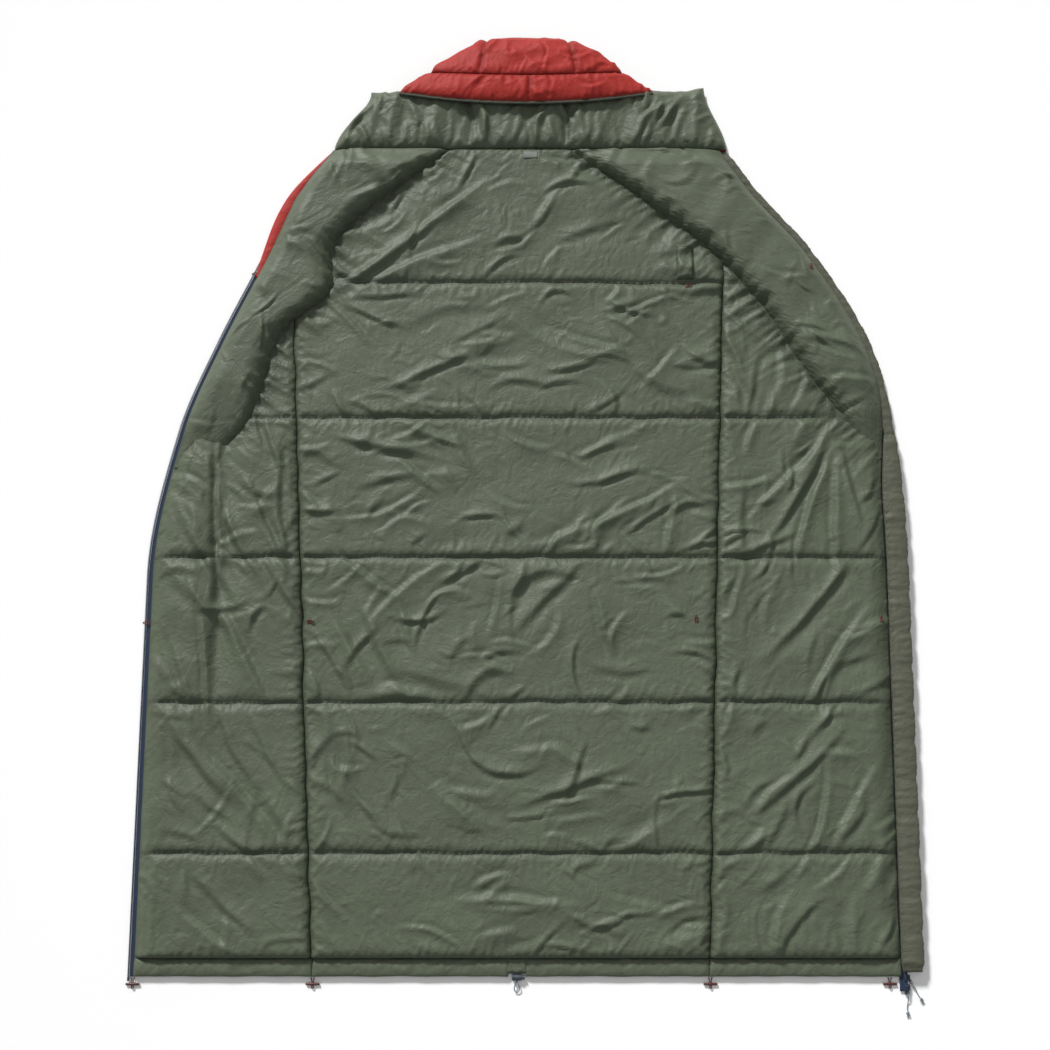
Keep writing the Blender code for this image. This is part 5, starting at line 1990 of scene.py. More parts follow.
# ---------------------------------------------------------------- hood
@dataclass
class HoodBack:
    """The part of the hood that lies on the floor, gathered into the neck seam."""

    bag: Bag
    seed: int = 181

    def build(self) -> None:
        """Makes the gathered lining pad and the shell below it."""
        neck_left = -float(self.bag.pattern.panel_edge(Side.LEFT, BODY_LENGTH)) + 0.002
        neck_right = float(self.bag.pattern.fold(Side.RIGHT, BODY_LENGTH)) + 0.004
        top_line = Curve.through([
            (-COLLAR_CORNER[0], COLLAR_RISE - 0.001), (-0.310, 0.138), (-RIM_END[0], 0.143), (-0.235, 0.156),
            (-0.194, 0.163), (-0.126, 0.212), (-0.090, 0.236), (0.0, 0.240), (0.105, 0.236), (0.146, 0.212),
            (0.207, 0.163), (0.250, 0.154), (RIM_END[1], 0.143), (0.340, 0.142),
            (COLLAR_CORNER[1], COLLAR_RISE + 0.010)])
        count = 2 * round((neck_right - neck_left) / CELL / 2)
        u = np.linspace(0, 1, count + 1)
        low_x = neck_left + (neck_right - neck_left) * u
        high_x = -COLLAR_CORNER[0] + (COLLAR_CORNER[0] + COLLAR_CORNER[1]) * u
        v = np.linspace(0, 1, 45)[:, None]
        sweep_in = smoothstep(0, 1, v)
        xs = low_x * (1 - sweep_in) + high_x * sweep_in
        ys = BODY_LENGTH + GAP + top_line(high_x) * v
        noise, other = Noise(self.seed), Noise(self.seed + 1)
        to_neck = ys - BODY_LENGTH
        seams = [np.abs(xs - (line + 0.004 * np.sin(ys * 60))) for line in (-0.120, 0.092)]
        to_seam = np.minimum(*seams)
        to_side = np.minimum(xs - xs[:, :1], xs[:, -1:] - xs)
        to_top = (top_line(high_x) * (1 - v))
        edge = 0.010 + 0.019 * pillow(np.minimum(to_side, to_top * 1.2), 0.035, 2.2)
        height = np.minimum(edge, 0.0165 + 0.0125 * pillow(to_neck, 0.030, 2.2))
        height = np.minimum(height, 0.0200 + 0.009 * pillow(to_seam, 0.022, 2.0))
        soft = pillow(np.minimum(to_neck, to_side), 0.03, 1.5)
        height += soft * (0.0050 * noise.folds(xs, ys, 86.0, 0.050, 0.15)
                          + 0.0024 * other.folds(xs, ys, 80.0, 0.022, 0.10) + 0.001)

        def heading(x: float, _: float) -> float:
            """Up from the neck, fanning out to the sides."""
            return math.radians(90 - 95 * x + 14 * math.sin(9 * x))
        for creases in (Creases(self.seed + 2, 420.0, (0.05, 0.12), (0.006, 0.013), (0.0030, 0.0065), 0.35),
                        Creases(self.seed + 3, 520.0, (0.02, 0.06), (0.004, 0.008), (0.0015, 0.0030), 0.6)):
            height += soft * creases.over(xs, ys, heading)
        for fold in (ray(-0.425, 1.765, 44, 0.01, 0.13, 0.014, 0.0075),
                     ray(-0.40, 1.76, 62, 0.01, 0.10, 0.010, 0.006),
                     ray(0.36, 1.880, 212, 0.01, 0.13, 0.013, 0.0070),
                     ray(0.36, 1.885, 232, 0.01, 0.10, 0.012, 0.006),
                     ray(0.30, 1.870, 236, 0.0, 0.09, 0.010, 0.0055)):
            fold.add_to(height, xs, ys)
        pinned = rim_of(xs.shape)
        near_neck = np.exp(-to_neck / 0.03)
        across = 0.010 + 0.085 * near_neck * np.clip(1 + 0.8 * noise(xs / 0.1, ys * 0), 0.2, 2)
        along = np.full_like(across, 0.006) + 0.03 * np.exp(-to_seam / 0.012)
        lift = 0.0035 * other(xs / 0.015, ys / 0.06) * near_neck + 0.0008 * noise(xs / 0.015, ys / 0.015)
        base = self.bag.place(np.stack([xs, ys, height], -1))
        cloth = Cloth(base, pinned, across, along, lift, most=0.010, bend=0.35)
        top = cloth.fold(*steps(160, 160))
        bottom = base.copy()
        bottom[..., 2] = 0.0044
        # Painted shade: the 'seam' distance darkens the pad within about 11 mm of the neck seam and the two
        # hood seams.
        seam = np.minimum(np.minimum(to_neck, to_seam), 0.04)
        obj = closed_pad("hood_back_quilt", top, bottom, np.stack([xs, ys], -1), seam=seam)
        obj.data.materials.append(LINING.material())
        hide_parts("hood_lining", "hood_insulation")
        self._join(obj)
        drawn = np.exp(-to_neck / 0.012)
        low = 0.0012 + 0.0018 * drawn + 0.0004 * noise(xs / 0.03, ys / 0.03)
        under = self.bag.place(np.stack([xs, ys, low], -1))
        # Painted shade: the shell below darkens within about 11 mm of the neck seam.
        cover = new_mesh("hood_back_shell", under.reshape(-1, 3), grid_faces(*xs.shape, flip=True),
                         np.stack([xs, ys], -1).reshape(-1, 2), seam=np.minimum(to_neck, 0.04).ravel())
        cover.data.materials.append(SHELL.material())
        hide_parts("hood_shell")
        self._join(cover)
        log.info("hood back: %d points", len(obj.data.vertices))

    def _join(self, obj: bpy.types.Object) -> None:
        """Bakes a piece's transform into its mesh; the stretch from the neck seam up is worked out but
        nothing is bent.

        Args:
            obj: the piece.
        """
        start = self.bag.place(np.array([0.0, BODY_LENGTH + 0.004, 0.0]))
        end = self.bag.place(np.array([0.0, BODY_LENGTH + 0.064, 0.0]))
        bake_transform(obj)


@dataclass
class HoodTop:
    """The hood's upper layer: crown and brow in shell cloth, lining below, and the bound rim."""

    bag: Bag
    seed: int = 201
    depth: float = 0.165        # from the crown's top edge to the rim

    def build(self) -> None:
        """Makes the crown, the brow band and the rim binding."""
        cross = 0.62
        crown = self._layer("hood_crown_cloth", 0.0, cross, (-0.100, 0.113))
        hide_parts("hood_crown")
        brow = self._layer("hood_brow_cloth", cross, 1.0, (0.010,))
        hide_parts("hood_brow_band")
        for obj in (crown, brow):
            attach(obj, "hood")
        self._binding()

    def surface(self, across: np.ndarray, down: np.ndarray) -> np.ndarray:
        """The upper layer's outside.

        Args:
            across: -1 at its left side to 1 at its right.
            down: 0 at the crown's folded top edge to 1 at the rim.

        Returns:
            ... x 3 in the pattern.
        """
        down_at = np.array([0.0, 0.10, 0.25, 0.45, 0.62, 0.80, 1.0])
        left = np.interp(down, down_at, [0.100, 0.116, 0.150, 0.186, 0.214, 0.243, 0.281])
        right = np.interp(down, down_at, [0.116, 0.133, 0.166, 0.196, 0.218, 0.246, 0.286])
        x = across * np.where(across < 0, left, right)
        top_y = 2.008 + 0.003 * np.cos(across * 2)
        rim_y = 1.846 + 0.030 * np.abs(across) ** 2.2
        y = top_y + (rim_y - top_y) * down
        side = np.clip(1 - np.abs(across) ** 2.6, 0, 1) ** 0.5
        arch = np.interp(down, [0.0, 0.08, 0.25, 0.6, 0.85, 1.0], [0.020, 0.036, 0.047, 0.053, 0.052, 0.046])
        edge = np.interp(down, [0.0, 0.3, 1.0], [0.012, 0.016, 0.029])
        return np.stack([x, y, edge + (arch - edge) * side], -1)

    def _layer(self, name: str, start: float, stop: float, seams: tuple[float, ...]) -> bpy.types.Object:
        """A closed stuffed stretch of the upper layer between two cross seams.

        Args:
            name: object name.
            start, stop: its ends, as shares of the way from the crown's top edge to the rim.
            seams: x of the seams that run down it.

        Returns:
            The object, its underside in lining.
        """
        across = np.linspace(-1, 1, 125)
        down = np.linspace(start, stop, 2 * round((stop - start) * self.depth / 0.0036 / 2) + 1)
        u, w = np.meshgrid(across, down)
        base = self.surface(u, w)
        to_cross = np.abs(w - stop) * self.depth
        if start > 0.0:
            to_cross = np.minimum(to_cross, np.abs(w - start) * self.depth)
        to_seam = np.min([np.abs(base[..., 0] - line * (0.85 + 0.25 * w)) for line in seams], axis=0)
        normal = grid_normals(base)
        normal *= np.sign(normal[..., 2:3].mean())
        noise, other = Noise(self.seed + len(name)), Noise(self.seed + 2 + len(name))
        puff = 0.0065 * pillow(to_cross, 0.018, 2.0) * pillow(to_seam, 0.014, 2.0) - 0.003
        xs, ys = base[..., 0], base[..., 1]
        height = puff + 0.0022 * noise.folds(xs, ys, 35.0, 0.035, 0.12) * pillow(to_cross, 0.012)
        order = slice(None, None, -1)
        strewn = Creases(self.seed + 5, 620.0, (0.03, 0.09), (0.005, 0.010), (0.0016, 0.0040), 0.9)
        height += strewn.over(xs[order], ys[order], math.radians(60))[order] * pillow(to_cross, 0.010)
        base = base + normal * height[..., None]
        pinned = rim_of(u.shape)
        gathers = np.exp(-to_cross / 0.012)
        spare = 0.008 + 0.06 * gathers
        lift = 0.0022 * other(xs / 0.012, ys / 0.03) * gathers
        placed = self.bag.place(base)[order]
        cloth = Cloth(placed, pinned[order], spare[order], (0.006 + 0.04 * np.exp(-to_seam / 0.01))[order],
                      lift[order], most=0.004, bend=0.25)
        top = cloth.settle(sum(steps(80, 80)))
        inner = placed - 0.0085 * (grid_normals(placed) * pillow(to_cross, 0.010)[order][..., None]) \
            - np.array([0.0, 0.0, 0.0015])
        inner[..., 2] = np.maximum(inner[..., 2], 0.006)
        # Painted shade: the 'seam' distance darkens the cloth within about 11 mm of the cross seams and the
        # seams that run down it.
        seam = np.minimum(np.minimum(to_cross, to_seam), 0.04)
        obj = closed_pad(name, top, inner, np.stack([xs, ys], -1)[order], seam=seam[order])
        obj.data.materials.append(SHELL.material())
        obj.data.materials.append(LINING.material())
        low = np.array([polygon.normal.z < -0.05 for polygon in obj.data.polygons])
        obj.data.polygons.foreach_set("material_index", low.astype(np.int32))
        return obj

    def _binding(self) -> None:
        """A folded tape round the rim, wavy where the cloth is gathered in it."""
        across = np.linspace(-0.985, 0.985, 320)
        path = self.bag.place(self.surface(across, np.ones_like(across)))
        noise = Noise(self.seed + 11)
        path[:, 1] -= 0.0010
        path[:, 2] += 0.0010 * noise(across / 0.05, across * 0) - 0.0012
        rings, uv = sweep(path, 0.0030, 12, squash=0.75)
        obj = ring_piece("hood_rim_bound", rings, uv, seam=np.full(rings.shape[:2], 0.03))
        obj.data.materials.append(BINDING.material())
        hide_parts("hood_rim_binding")
        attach(obj, "hood")
        line = path + np.array([0.0, 0.0030, 0.0028])
        thread = stitches("hood_rim_stitches", [line], 0.0034, 0.0025, 0.00028)
        thread.data.materials.append(THREAD_DARK.material())
        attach(thread, "hood")


# ---------------------------------------------------------------- small hard pieces
def joined(name: str, parts: Sequence[bpy.types.Object], material: bpy.types.Material) -> bpy.types.Object:
    """One object from several, with edges over 35 degrees left sharp.

    Args:
        name: object name.
        parts: the objects, which are removed.
        material: for all of it.

    Returns:
        The linked object.
    """
    points, faces, first = [], [], 0
    for part in parts:
        own = np.empty(len(part.data.vertices) * 3)
        part.data.vertices.foreach_get("co", own)
        points.append(own.reshape(-1, 3))
        faces += [[first + k for k in polygon.vertices] for polygon in part.data.polygons]
        first += len(part.data.vertices)
        mesh = part.data
        bpy.data.objects.remove(part)
        bpy.data.meshes.remove(mesh)
    mesh = bpy.data.meshes.new(name)
    mesh.from_pydata(np.concatenate(points).tolist(), [], faces)
    mesh.polygons.foreach_set("use_smooth", np.ones(len(mesh.polygons), bool))
    mesh.set_sharp_from_angle(angle=math.radians(35))
    mesh.materials.append(material)
    obj = bpy.data.objects.new(name, mesh)
    bpy.context.scene.collection.objects.link(obj)
    return obj


def plate(size: tuple[float, float], centre: Sequence[float], thickness: float,
          corner: float = 0.3, turn: float = 0.0, taper: float = 1.0) -> bpy.types.Object:
    """A flat plate with round corners and eased edges.

    Args:
        size: width and length.
        centre: of the plate.
        thickness: of the plate.
        corner: how round its outline is, 0 for square to 1 for an ellipse.
        turn: radians about +z.
        taper: width at its -y end as a share of that at its +y end.

    Returns:
        The object.
    """
    angle = circle(48)
    power = 0.16 + 0.84 * corner
    across = np.sign(np.cos(angle)) * np.abs(np.cos(angle)) ** power
    along = np.sign(np.sin(angle)) * np.abs(np.sin(angle)) ** power
    ease = min(thickness * 0.3, 0.0004)
    half = 0.5 * thickness
    levels = [(-half, ease), (-half + 0.3 * ease, 0.3 * ease), (-half + ease, 0.0),
              (half - ease, 0.0), (half - 0.3 * ease, 0.3 * ease), (half, ease)]
    rings = []
    for z, inset in levels:
        narrow = 1 - (1 - taper) * (1 - along) / 2
        x = across * (size[0] / 2 - inset) * narrow
        y = along * (size[1] / 2 - inset)
        rings.append(np.stack([centre[0] + x * math.cos(turn) - y * math.sin(turn),
                               centre[1] + x * math.sin(turn) + y * math.cos(turn),
                               np.full_like(x, centre[2] + z)], -1))
    return ring_piece("plate", np.array(rings))


def bar(path: Sequence[Sequence[float]] | np.ndarray, radius: np.ndarray | float, sides: int = 14,
        squash: float = 1.0) -> bpy.types.Object:
    """A smooth bar along a path."""
    rings, _ = sweep(np.asarray(path, float), radius, sides, squash)
    return ring_piece("bar", rings)


def hoop(centre: Sequence[float], radius: float, thick: float, axis: int,
         squash: float = 1.0) -> bpy.types.Object:
    """A ring of round section about a coordinate axis.

    Args:
        centre: of the ring.
        radius: to the middle of its section.
        thick: radius of its section.
        axis: 0, 1 or 2.
        squash: height of its section as a share of its width.

    Returns:
        The object.
    """
    angle = np.linspace(0, 2 * math.pi, 49)
    turn = circle(12)
    out = radius + thick * np.cos(turn)[None]
    flat = np.stack([out * np.cos(angle)[:, None], out * np.sin(angle)[:, None],
                     np.broadcast_to(thick * squash * np.sin(turn), (49, 12))], -1)
    order = {0: (2, 0, 1), 1: (1, 2, 0), 2: (0, 1, 2)}[axis]
    points = (flat[..., order] + np.asarray(centre, float))[:-1].reshape(-1, 3)
    faces = grid_faces(49, 12, around=True) % (48 * 12)
    return new_mesh("hoop", points, faces)


@dataclass
class ZipSlider:
    """A die-cast slider: two plates, a nose, side flanges and the bridge that its pull hangs from."""

    node: str

    def build(self) -> None:
        """Makes it where its CAD solid sits."""
        low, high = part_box(self.node)
        x, y = (low.x + high.x) / 2, (low.y + high.y) / 2
        z0, z1 = low.z, high.z
        parts = [plate((0.0116, 0.0118), (x, y, z1 - 0.0005), 0.0010, 0.35, taper=0.86),
                 plate((0.0116, 0.0118), (x, y, z0 + 0.0005), 0.0010, 0.35, taper=0.86),
                 plate((0.0026, 0.0108), (x + 0.0044, y, (z0 + z1) / 2), z1 - z0 - 0.0004, 0.30),
                 plate((0.0024, 0.0100), (x - 0.0044, y, z0 + 0.0015), 0.0024, 0.30),
                 plate((0.0024, 0.0100), (x - 0.0044, y, z1 - 0.0013), 0.0020, 0.30)]
        arch = smooth_path([
            (x, y + 0.0056, z1 - 0.0004), (x, y + 0.0052, z1 + 0.0012), (x, y + 0.0034, z1 + 0.0026),
            (x, y + 0.0008, z1 + 0.0027), (x, y - 0.0018, z1 + 0.0014), (x, y - 0.0024, z1 - 0.0004)], 0.0004)
        parts.append(bar(arch, 0.0008, 12, 0.7))
        obj = joined(self.node + "_cast", parts, HARDWARE.material())
        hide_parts(self.node)
        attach(obj, self.node)


@dataclass
class ZipPull:
    """A pull tab with a looped root and an eye, and the knotted cord on it.

    Attributes:
        word: upper or lower.
        slider: the slider's node.
        turn: radians it is turned outwards.
    """

    word: str
    slider: str
    turn: float

    def __post_init__(self) -> None:
        """Finds where it hangs, and the directions along and across it."""
        low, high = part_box(self.slider)
        self.start = np.array([(low.x + high.x) / 2, (low.y + high.y) / 2 + 0.003, high.z + 0.0009])
        self.way = np.array([math.sin(self.turn), -math.cos(self.turn), 0.0])
        self.across = np.array([math.cos(self.turn), math.sin(self.turn), 0.0])

    def cord(self) -> None:
        """The braided cord and its knot; made first of all."""
        body = f"{self.word}_pull"
        low = CORD_RADIUS + GAP - self.start[2]
        leave = self.start + self.way * (0.0170 + GAP)
        marks = ((0.0, 0.0, 0.0), (0.004, 0.0, -0.0006), (0.010, 0.0010, -0.0035),
                 (0.017, 0.0004, low + 0.0008), (0.024, -0.0006, low), (0.031, -0.0004, low))
        path = smooth_path([leave + self.way * a + self.across * b + np.array([0, 0, c])
                            for a, b, c in marks], 0.0004)
        obj = braid(f"{self.word}_pull_braid", path, CORD_RADIUS, CORD_GREY, 16, 260.0)
        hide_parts(f"{self.word}_pull_cord")
        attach(obj, body)
        knot = self._knot(path[-1] + self.way * (0.0042 + GAP))

    def _knot(self, centre: np.ndarray) -> bpy.types.Object:
        """An overhand knot, a trefoil curve drawn tight, with its short tail.

        Args:
            centre: of the knot.

        Returns:
            The object.
        """
        centre = np.array([centre[0], centre[1], 0.0042])
        t = np.linspace(0.35, 2 * math.pi + 0.05, 150)
        tight = 0.00098
        curve = np.stack([tight * (np.sin(t) + 2 * np.sin(2 * t)), tight * (np.cos(t) - 2 * np.cos(2 * t)),
                          -0.0013 * np.sin(3 * t)], -1)
        placed = centre + curve[:, :1] * self.way + curve[:, 1:2] * self.across \
            + curve[:, 2:] * np.array([0, 0, 1.0])
        tail = [centre + self.way * d + np.array([0, 0, h]) for d, h in
                ((0.0010, 0.0), (0.0036, -0.0012), (0.0064, -0.0028), (0.0090, -0.0029))]
        parts = []
        for k, (path, radius) in enumerate(((placed, 0.00115), (smooth_path(tail, 0.0004), 0.0011))):
            rings, _ = sweep(path, radius, 14, twist=260.0, strands=4, relief=0.10)
            parts.append(ring_piece(f"knot_{k}", rings))
        obj = joined(f"{self.word}_pull_overhand", parts, CORD_GREY_SOLID.material())
        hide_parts(f"{self.word}_pull_knot")
        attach(obj, f"{self.word}_pull")
        return obj

    def build(self) -> None:
        """The tab, and the hitch of cord through its eye."""
        def spot(along: float, side: float, up: float = 0.0) -> np.ndarray:
            """A point in the tab's own directions."""
            return self.start + self.way * along + self.across * side + np.array([0, 0, up])
        loop = smooth_path([
            spot(0.0062, -0.0021), spot(0.0030, -0.0024), spot(0.0008, -0.0018), spot(0.0002, 0.0),
            spot(0.0008, 0.0018), spot(0.0030, 0.0024), spot(0.0062, 0.0021)], 0.0003)
        middle = spot(0.0086, 0.0)
        parts = [bar(loop, 0.00062, 12), plate((0.0056, 0.0062), middle, 0.0012, 0.22, self.turn, 1.0),
                 hoop(spot(0.0135, 0.0), 0.0024, 0.00072, 2, 0.85)]
        for along in (0.0066, 0.0078, 0.0090, 0.0102):
            parts.append(bar([spot(along, s, 0.0006) for s in np.linspace(-0.0020, 0.0020, 12)], 0.00030, 8))
        obj = joined(f"{self.word}_pull_plate", parts, HARDWARE.material())
        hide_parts(f"{self.word}_pull_tab")
        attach(obj, f"{self.word}_pull")
        hitch = smooth_path([
            spot(0.0178, 0.0004, -0.0002), spot(0.0160, 0.0006, 0.0014), spot(0.0142, 0.0003, 0.0012),
            spot(0.0135, 0.0, 0.0), spot(0.0142, -0.0003, -0.0012), spot(0.0160, -0.0006, -0.0014),
            spot(0.0178, -0.0004, -0.0003)], 0.0003)
        tie = braid(f"{self.word}_pull_hitch", hitch, 0.00085, CORD_GREY, 12, 260.0)
        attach(tie, f"{self.word}_pull")


class ZipEnds:
    """Sliders, pulls, insertion pin and retainer box."""

    def __init__(self) -> None:
        """Both pulls, the upper one turned outwards."""
        self.pulls = [ZipPull("upper", "upper_slider", math.radians(32)),
                      ZipPull("lower", "lower_slider", 0.0)]

    def cords(self) -> None:
        """The free cords."""
        for pull in self.pulls:
            pull.cord()

    def build(self) -> None:
        """Everything else."""
        for pull in self.pulls:
            ZipSlider(pull.slider).build()
            pull.build()
        for node, body, corner in (("left_zip_pin", "left_front", 0.30),
                                   ("right_zip_box", "right_front", 0.18)):
            low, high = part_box(node)
            size, centre = high - low, (low + high) / 2
            parts = [plate((size.x, size.y), centre, size.z, corner)]
            if node == "right_zip_box":
                parts.append(plate((size.x * 0.62, size.y * 0.55), centre + Vector((0, 0, size.z / 2)),
                                   0.0006, 0.2))
            obj = joined(node + "_cast", parts, HARDWARE.material())
            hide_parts(node)
            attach(obj, body)


@dataclass
class CordLock:
    """The hem drawcord, and the barrel lock it runs through."""

    bag: Bag
    nodes: dict
    travel: float = 0.0018      # of the button

    def cord(self) -> None:
        """Out of the left casing, through the barrel, round a short loop and back."""
        x, y, z = HEM_MOUTH_X, -0.0015, 0.0064
        left = x - 0.00135
        middle, floor, reach, tail, bulge = HEM_DEPTH / 2, FABRIC + CORD_RADIUS + GAP, 0.0090, 0.020, 0.0038
        half = [(-0.37, middle, floor), (-0.20, middle, floor), (x - 0.030, middle, floor),
                (x - 0.012, middle - 0.001, (floor + z) / 2), (left - 0.0015, y + reach + 0.004, z),
                (left, y + reach - 0.001, z), (left, y, z), (left, y - reach + 0.001, z),
                (left - bulge * 0.55, y - reach - tail * 0.25, z),
                (left - bulge, y - reach - tail * 0.6, z - 0.0008),
                (left - bulge * 0.6, y - reach - tail * 0.88, z - 0.0024)]
        other = [(2 * x - a, b, c) for a, b, c in half[::-1]]
        other[-1], other[-2] = (0.33, middle, floor), (0.17, middle, floor)
        path = self.bag.place(smooth_path([*half, (x, y - reach - tail, z - 0.0032), *other], 0.0006))
        obj = braid("hem_drawcord_braid", path, CORD_RADIUS, CORD_GREY, 16, 260.0)
        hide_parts("hem_drawcord")
        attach(obj, "back")

    def build(self) -> None:
        """Finishes the barrel: grip ribs and lips; the button's dome; the spring's steel."""
        low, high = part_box("cord_lock_body")
        centre, radius = (low + high) / 2, (high.z - low.z) / 2
        parts = [hoop((centre.x + dx, centre.y, centre.z), radius - 0.0001, 0.00042, 0)
                 for dx in (-0.0072, -0.0059, -0.0046, 0.0046, 0.0059, 0.0072)]
        parts += [hoop((low.x + 0.0004, centre.y, centre.z), radius - 0.0009, 0.0009, 0),
                  hoop((high.x - 0.0003, centre.y, centre.z), radius - 0.0006, 0.0007, 0)]
        ribs = joined("cord_lock_ribs", parts, LOCK.material())
        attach(ribs, "back")
        low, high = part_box("cord_lock_button")
        centre, radius = (low + high) / 2, (high.z - low.z) / 2
        dome = [plate_end(high.x, centre, radius),
                hoop((high.x - 0.0006, centre.y, centre.z), radius - 0.0004, 0.0005, 0)]
        cap = joined("cord_lock_dome", dome, LOCK.material())
        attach(cap, "cord_lock_button")
        for node, finish in (("cord_lock_body", LOCK), ("cord_lock_button", LOCK),
                             ("cord_lock_spring", STEEL)):
            obj = self.nodes[node]
            obj.data.materials.clear()
            obj.data.materials.append(finish.material())
            obj.data.polygons.foreach_set("use_smooth", np.ones(len(obj.data.polygons), bool))
            obj.data.set_sharp_from_angle(angle=math.radians(35))
        low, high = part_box("cord_lock_spring")
        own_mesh(self.nodes["cord_lock_spring"])


def plate_end(x: float, centre: Vector, radius: float) -> bpy.types.Object:
    """A shallow dome on a button's end, facing +x.

    Args:
        x: its foot.
        centre, radius: of the button.

    Returns:
        The object.
    """
    spots = [(x - 0.0006 + 0.0011 * math.sin(a), radius * 0.86 * math.cos(a))
             for a in np.linspace(0, 1.45, 9)]
    turn = circle(32)
    rings = np.array([np.stack([np.full(32, at), centre.y + r * np.cos(turn),
                                centre.z + r * np.sin(turn)], -1) for at, r in spots])
    return ring_piece("dome", rings)


def even_inside(heights: np.ndarray) -> None:
    """Sets each inner point of a net to the mean of its four neighbours, in place."""
    total = heights[:-2, 1:-1] + heights[2:, 1:-1] + heights[1:-1, :-2] + heights[1:-1, 2:]
    heights[1:-1, 1:-1] = total / 4


@dataclass
class Relief:
    """Heights of made cloth, so that small pieces can lie on it."""

    parts: list[bpy.types.Object]

    def __post_init__(self) -> None:
        """Makes a search tree of each piece."""
        self.trees = []
        for part in self.parts:
            points = [vertex.co.copy() for vertex in part.data.vertices]
            self.trees.append(BVHTree.FromPolygons(points, [tuple(p.vertices) for p in part.data.polygons]))

    def height(self, x: float, y: float) -> float:
        """The highest cloth at a point of the frame, 0 where there is none."""
        found = [tree.ray_cast(Vector((x, y, 0.2)), Vector((0, 0, -1)))[0] for tree in self.trees]
        return max([spot.z for spot in found if spot], default=0.0)

    def under(self, xs: np.ndarray, ys: np.ndarray) -> np.ndarray:
        """The highest cloth at each place of a net."""
        heights = [self.height(float(x), float(y)) for x, y in zip(xs.ravel(), ys.ravel())]
        return np.array(heights).reshape(xs.shape)

    def over(self, points: np.ndarray, lift: float, smooth: int = 0) -> np.ndarray:
        """Points moved to lie on the cloth.

        Args:
            points: N x 3, in the frame.
            lift: height over the cloth.
            smooth: how many times the heights are evened with their neighbours'.

        Returns:
            N x 3.
        """
        heights = np.array([self.height(float(x), float(y)) for x, y, _ in points])
        for _ in range(smooth):
            heights[1:-1] = (heights[:-2] + heights[1:-1] + heights[2:]) / 3
        return np.stack([points[:, 0], points[:, 1], heights + lift], -1)


@dataclass
class Toggles:
    """The four hem toggles and the seven sewn loops that they can go to."""

    bag: Bag
    relief: Relief

    def build(self) -> None:
        """Makes all of them."""
        for number in range(1, 5):
            self._toggle(number)
        left, right = Side
        for number, (turn, side) in enumerate(((180, left), (0, None), (90, None), (90, right),
                                               (180, left), (0, None), (90, right)), 1):
            self._loop(number, turn, side)

    def _toggle(self, number: int) -> None:
        """A turned bar, thick at its middle, and its braided cord.

        Args:
            number: 1 to 4, from the left.
        """
        low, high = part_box(f"toggle_bar_{number}")
        centre, half = (low + high) / 2, (high.x - low.x) / 2
        radius = (high.z - low.z) / 2
        quarter = np.linspace(0, math.pi / 2, 7)
        share = np.concatenate([-1 + 0.10 * (1 - np.cos(quarter)), np.linspace(-0.88, 0.88, 41),
                                1 - 0.10 * (1 - np.cos(quarter[::-1]))])
        end = np.clip((1 - np.abs(share)) / 0.10, 0, 1)
        size = radius * np.sqrt(1 - (1 - end) ** 2 * 0.97) * (0.84 + 0.16 * np.cos(share * math.pi / 2) ** 2)
        size *= 1 - 0.10 * np.exp(-((np.abs(share) - 0.78) / 0.03) ** 2)
        path = np.stack([centre.x + half * share, np.full_like(share, centre.y),
                         np.full_like(share, centre.z)], -1)
        rings, _ = sweep(path, size, 24)
        obj = joined(f"toggle_bar_turned_{number}", [ring_piece("bar", rings)], TOGGLE.material())
        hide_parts(f"toggle_bar_{number}")
        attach(obj, f"toggle_{number}")
        x, y, z = centre
        root = float(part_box(f"toggle_cord_{number}")[1].y) - 0.0010
        marks = [(-0.0035, root), (-0.0022, y + 0.0087), (-0.0013, y + 0.004), (-0.0013, y - 0.0039),
                 (-0.0022, y - 0.0059), (0.0, y - 0.0080)]
        marks += [(-a, b) for a, b in marks[-2::-1]]
        tip = y - 0.0080
        path = smooth_path([(x + a, b, z + 0.0004 * (b < tip + 0.003)) for a, b in marks], 0.0004)
        cord = braid(f"toggle_braid_{number}", path, 0.0010, CORD_BROWN)
        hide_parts(f"toggle_cord_{number}")
        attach(cord, f"toggle_{number}")

    def _loop(self, number: int, turn: float, side: Side | None) -> None:
        """A folded length of braid with a bar tack over its ends.

        Args:
            number: 1 to 7.
            turn: the way it points, in degrees from +x.
            side: the front that it is sewn to, or None for the back panel.
        """
        low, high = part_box(f"toggle_loop_{number}")
        centre = (low + high) / 2
        angle = math.radians(turn)
        way = np.array([math.cos(angle), math.sin(angle), 0.0])
        across = np.array([-way[1], way[0], 0.0])
        root = np.array([centre.x, centre.y, centre.z]) - way * 0.0065
        t = np.linspace(0, math.pi, 60)
        path = root + way * (0.0130 * np.sin(t))[:, None] + across * (0.0030 * np.cos(t))[:, None]
        on_cloth = self.relief.over(path, 0.0010, 12)
        path[:, 2] = np.where(on_cloth[:, 2] > 0.006, on_cloth[:, 2] + 0.0022 * np.sin(t), path[:, 2])
        obj = braid(f"loop_braid_{number}", path, 0.00105, CORD_BROWN)
        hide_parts(f"toggle_loop_{number}")
        rows = [np.stack([path[0] + (path[-1] - path[0]) * s + way * (0.0004 * k) + np.array([0, 0, 0.0010])
                          for s in np.linspace(-0.12, 1.12, 8)]) for k in range(-1, 6)]
        tack = stitches(f"loop_tack_{number}", rows, 0.0020, 0.0022, 0.00030)
        tack.data.materials.append(THREAD_BROWN.material())
        for piece in (obj, tack):
            if side is None:
                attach(piece, "back")
            else:
                self.bag.bend(piece, side)


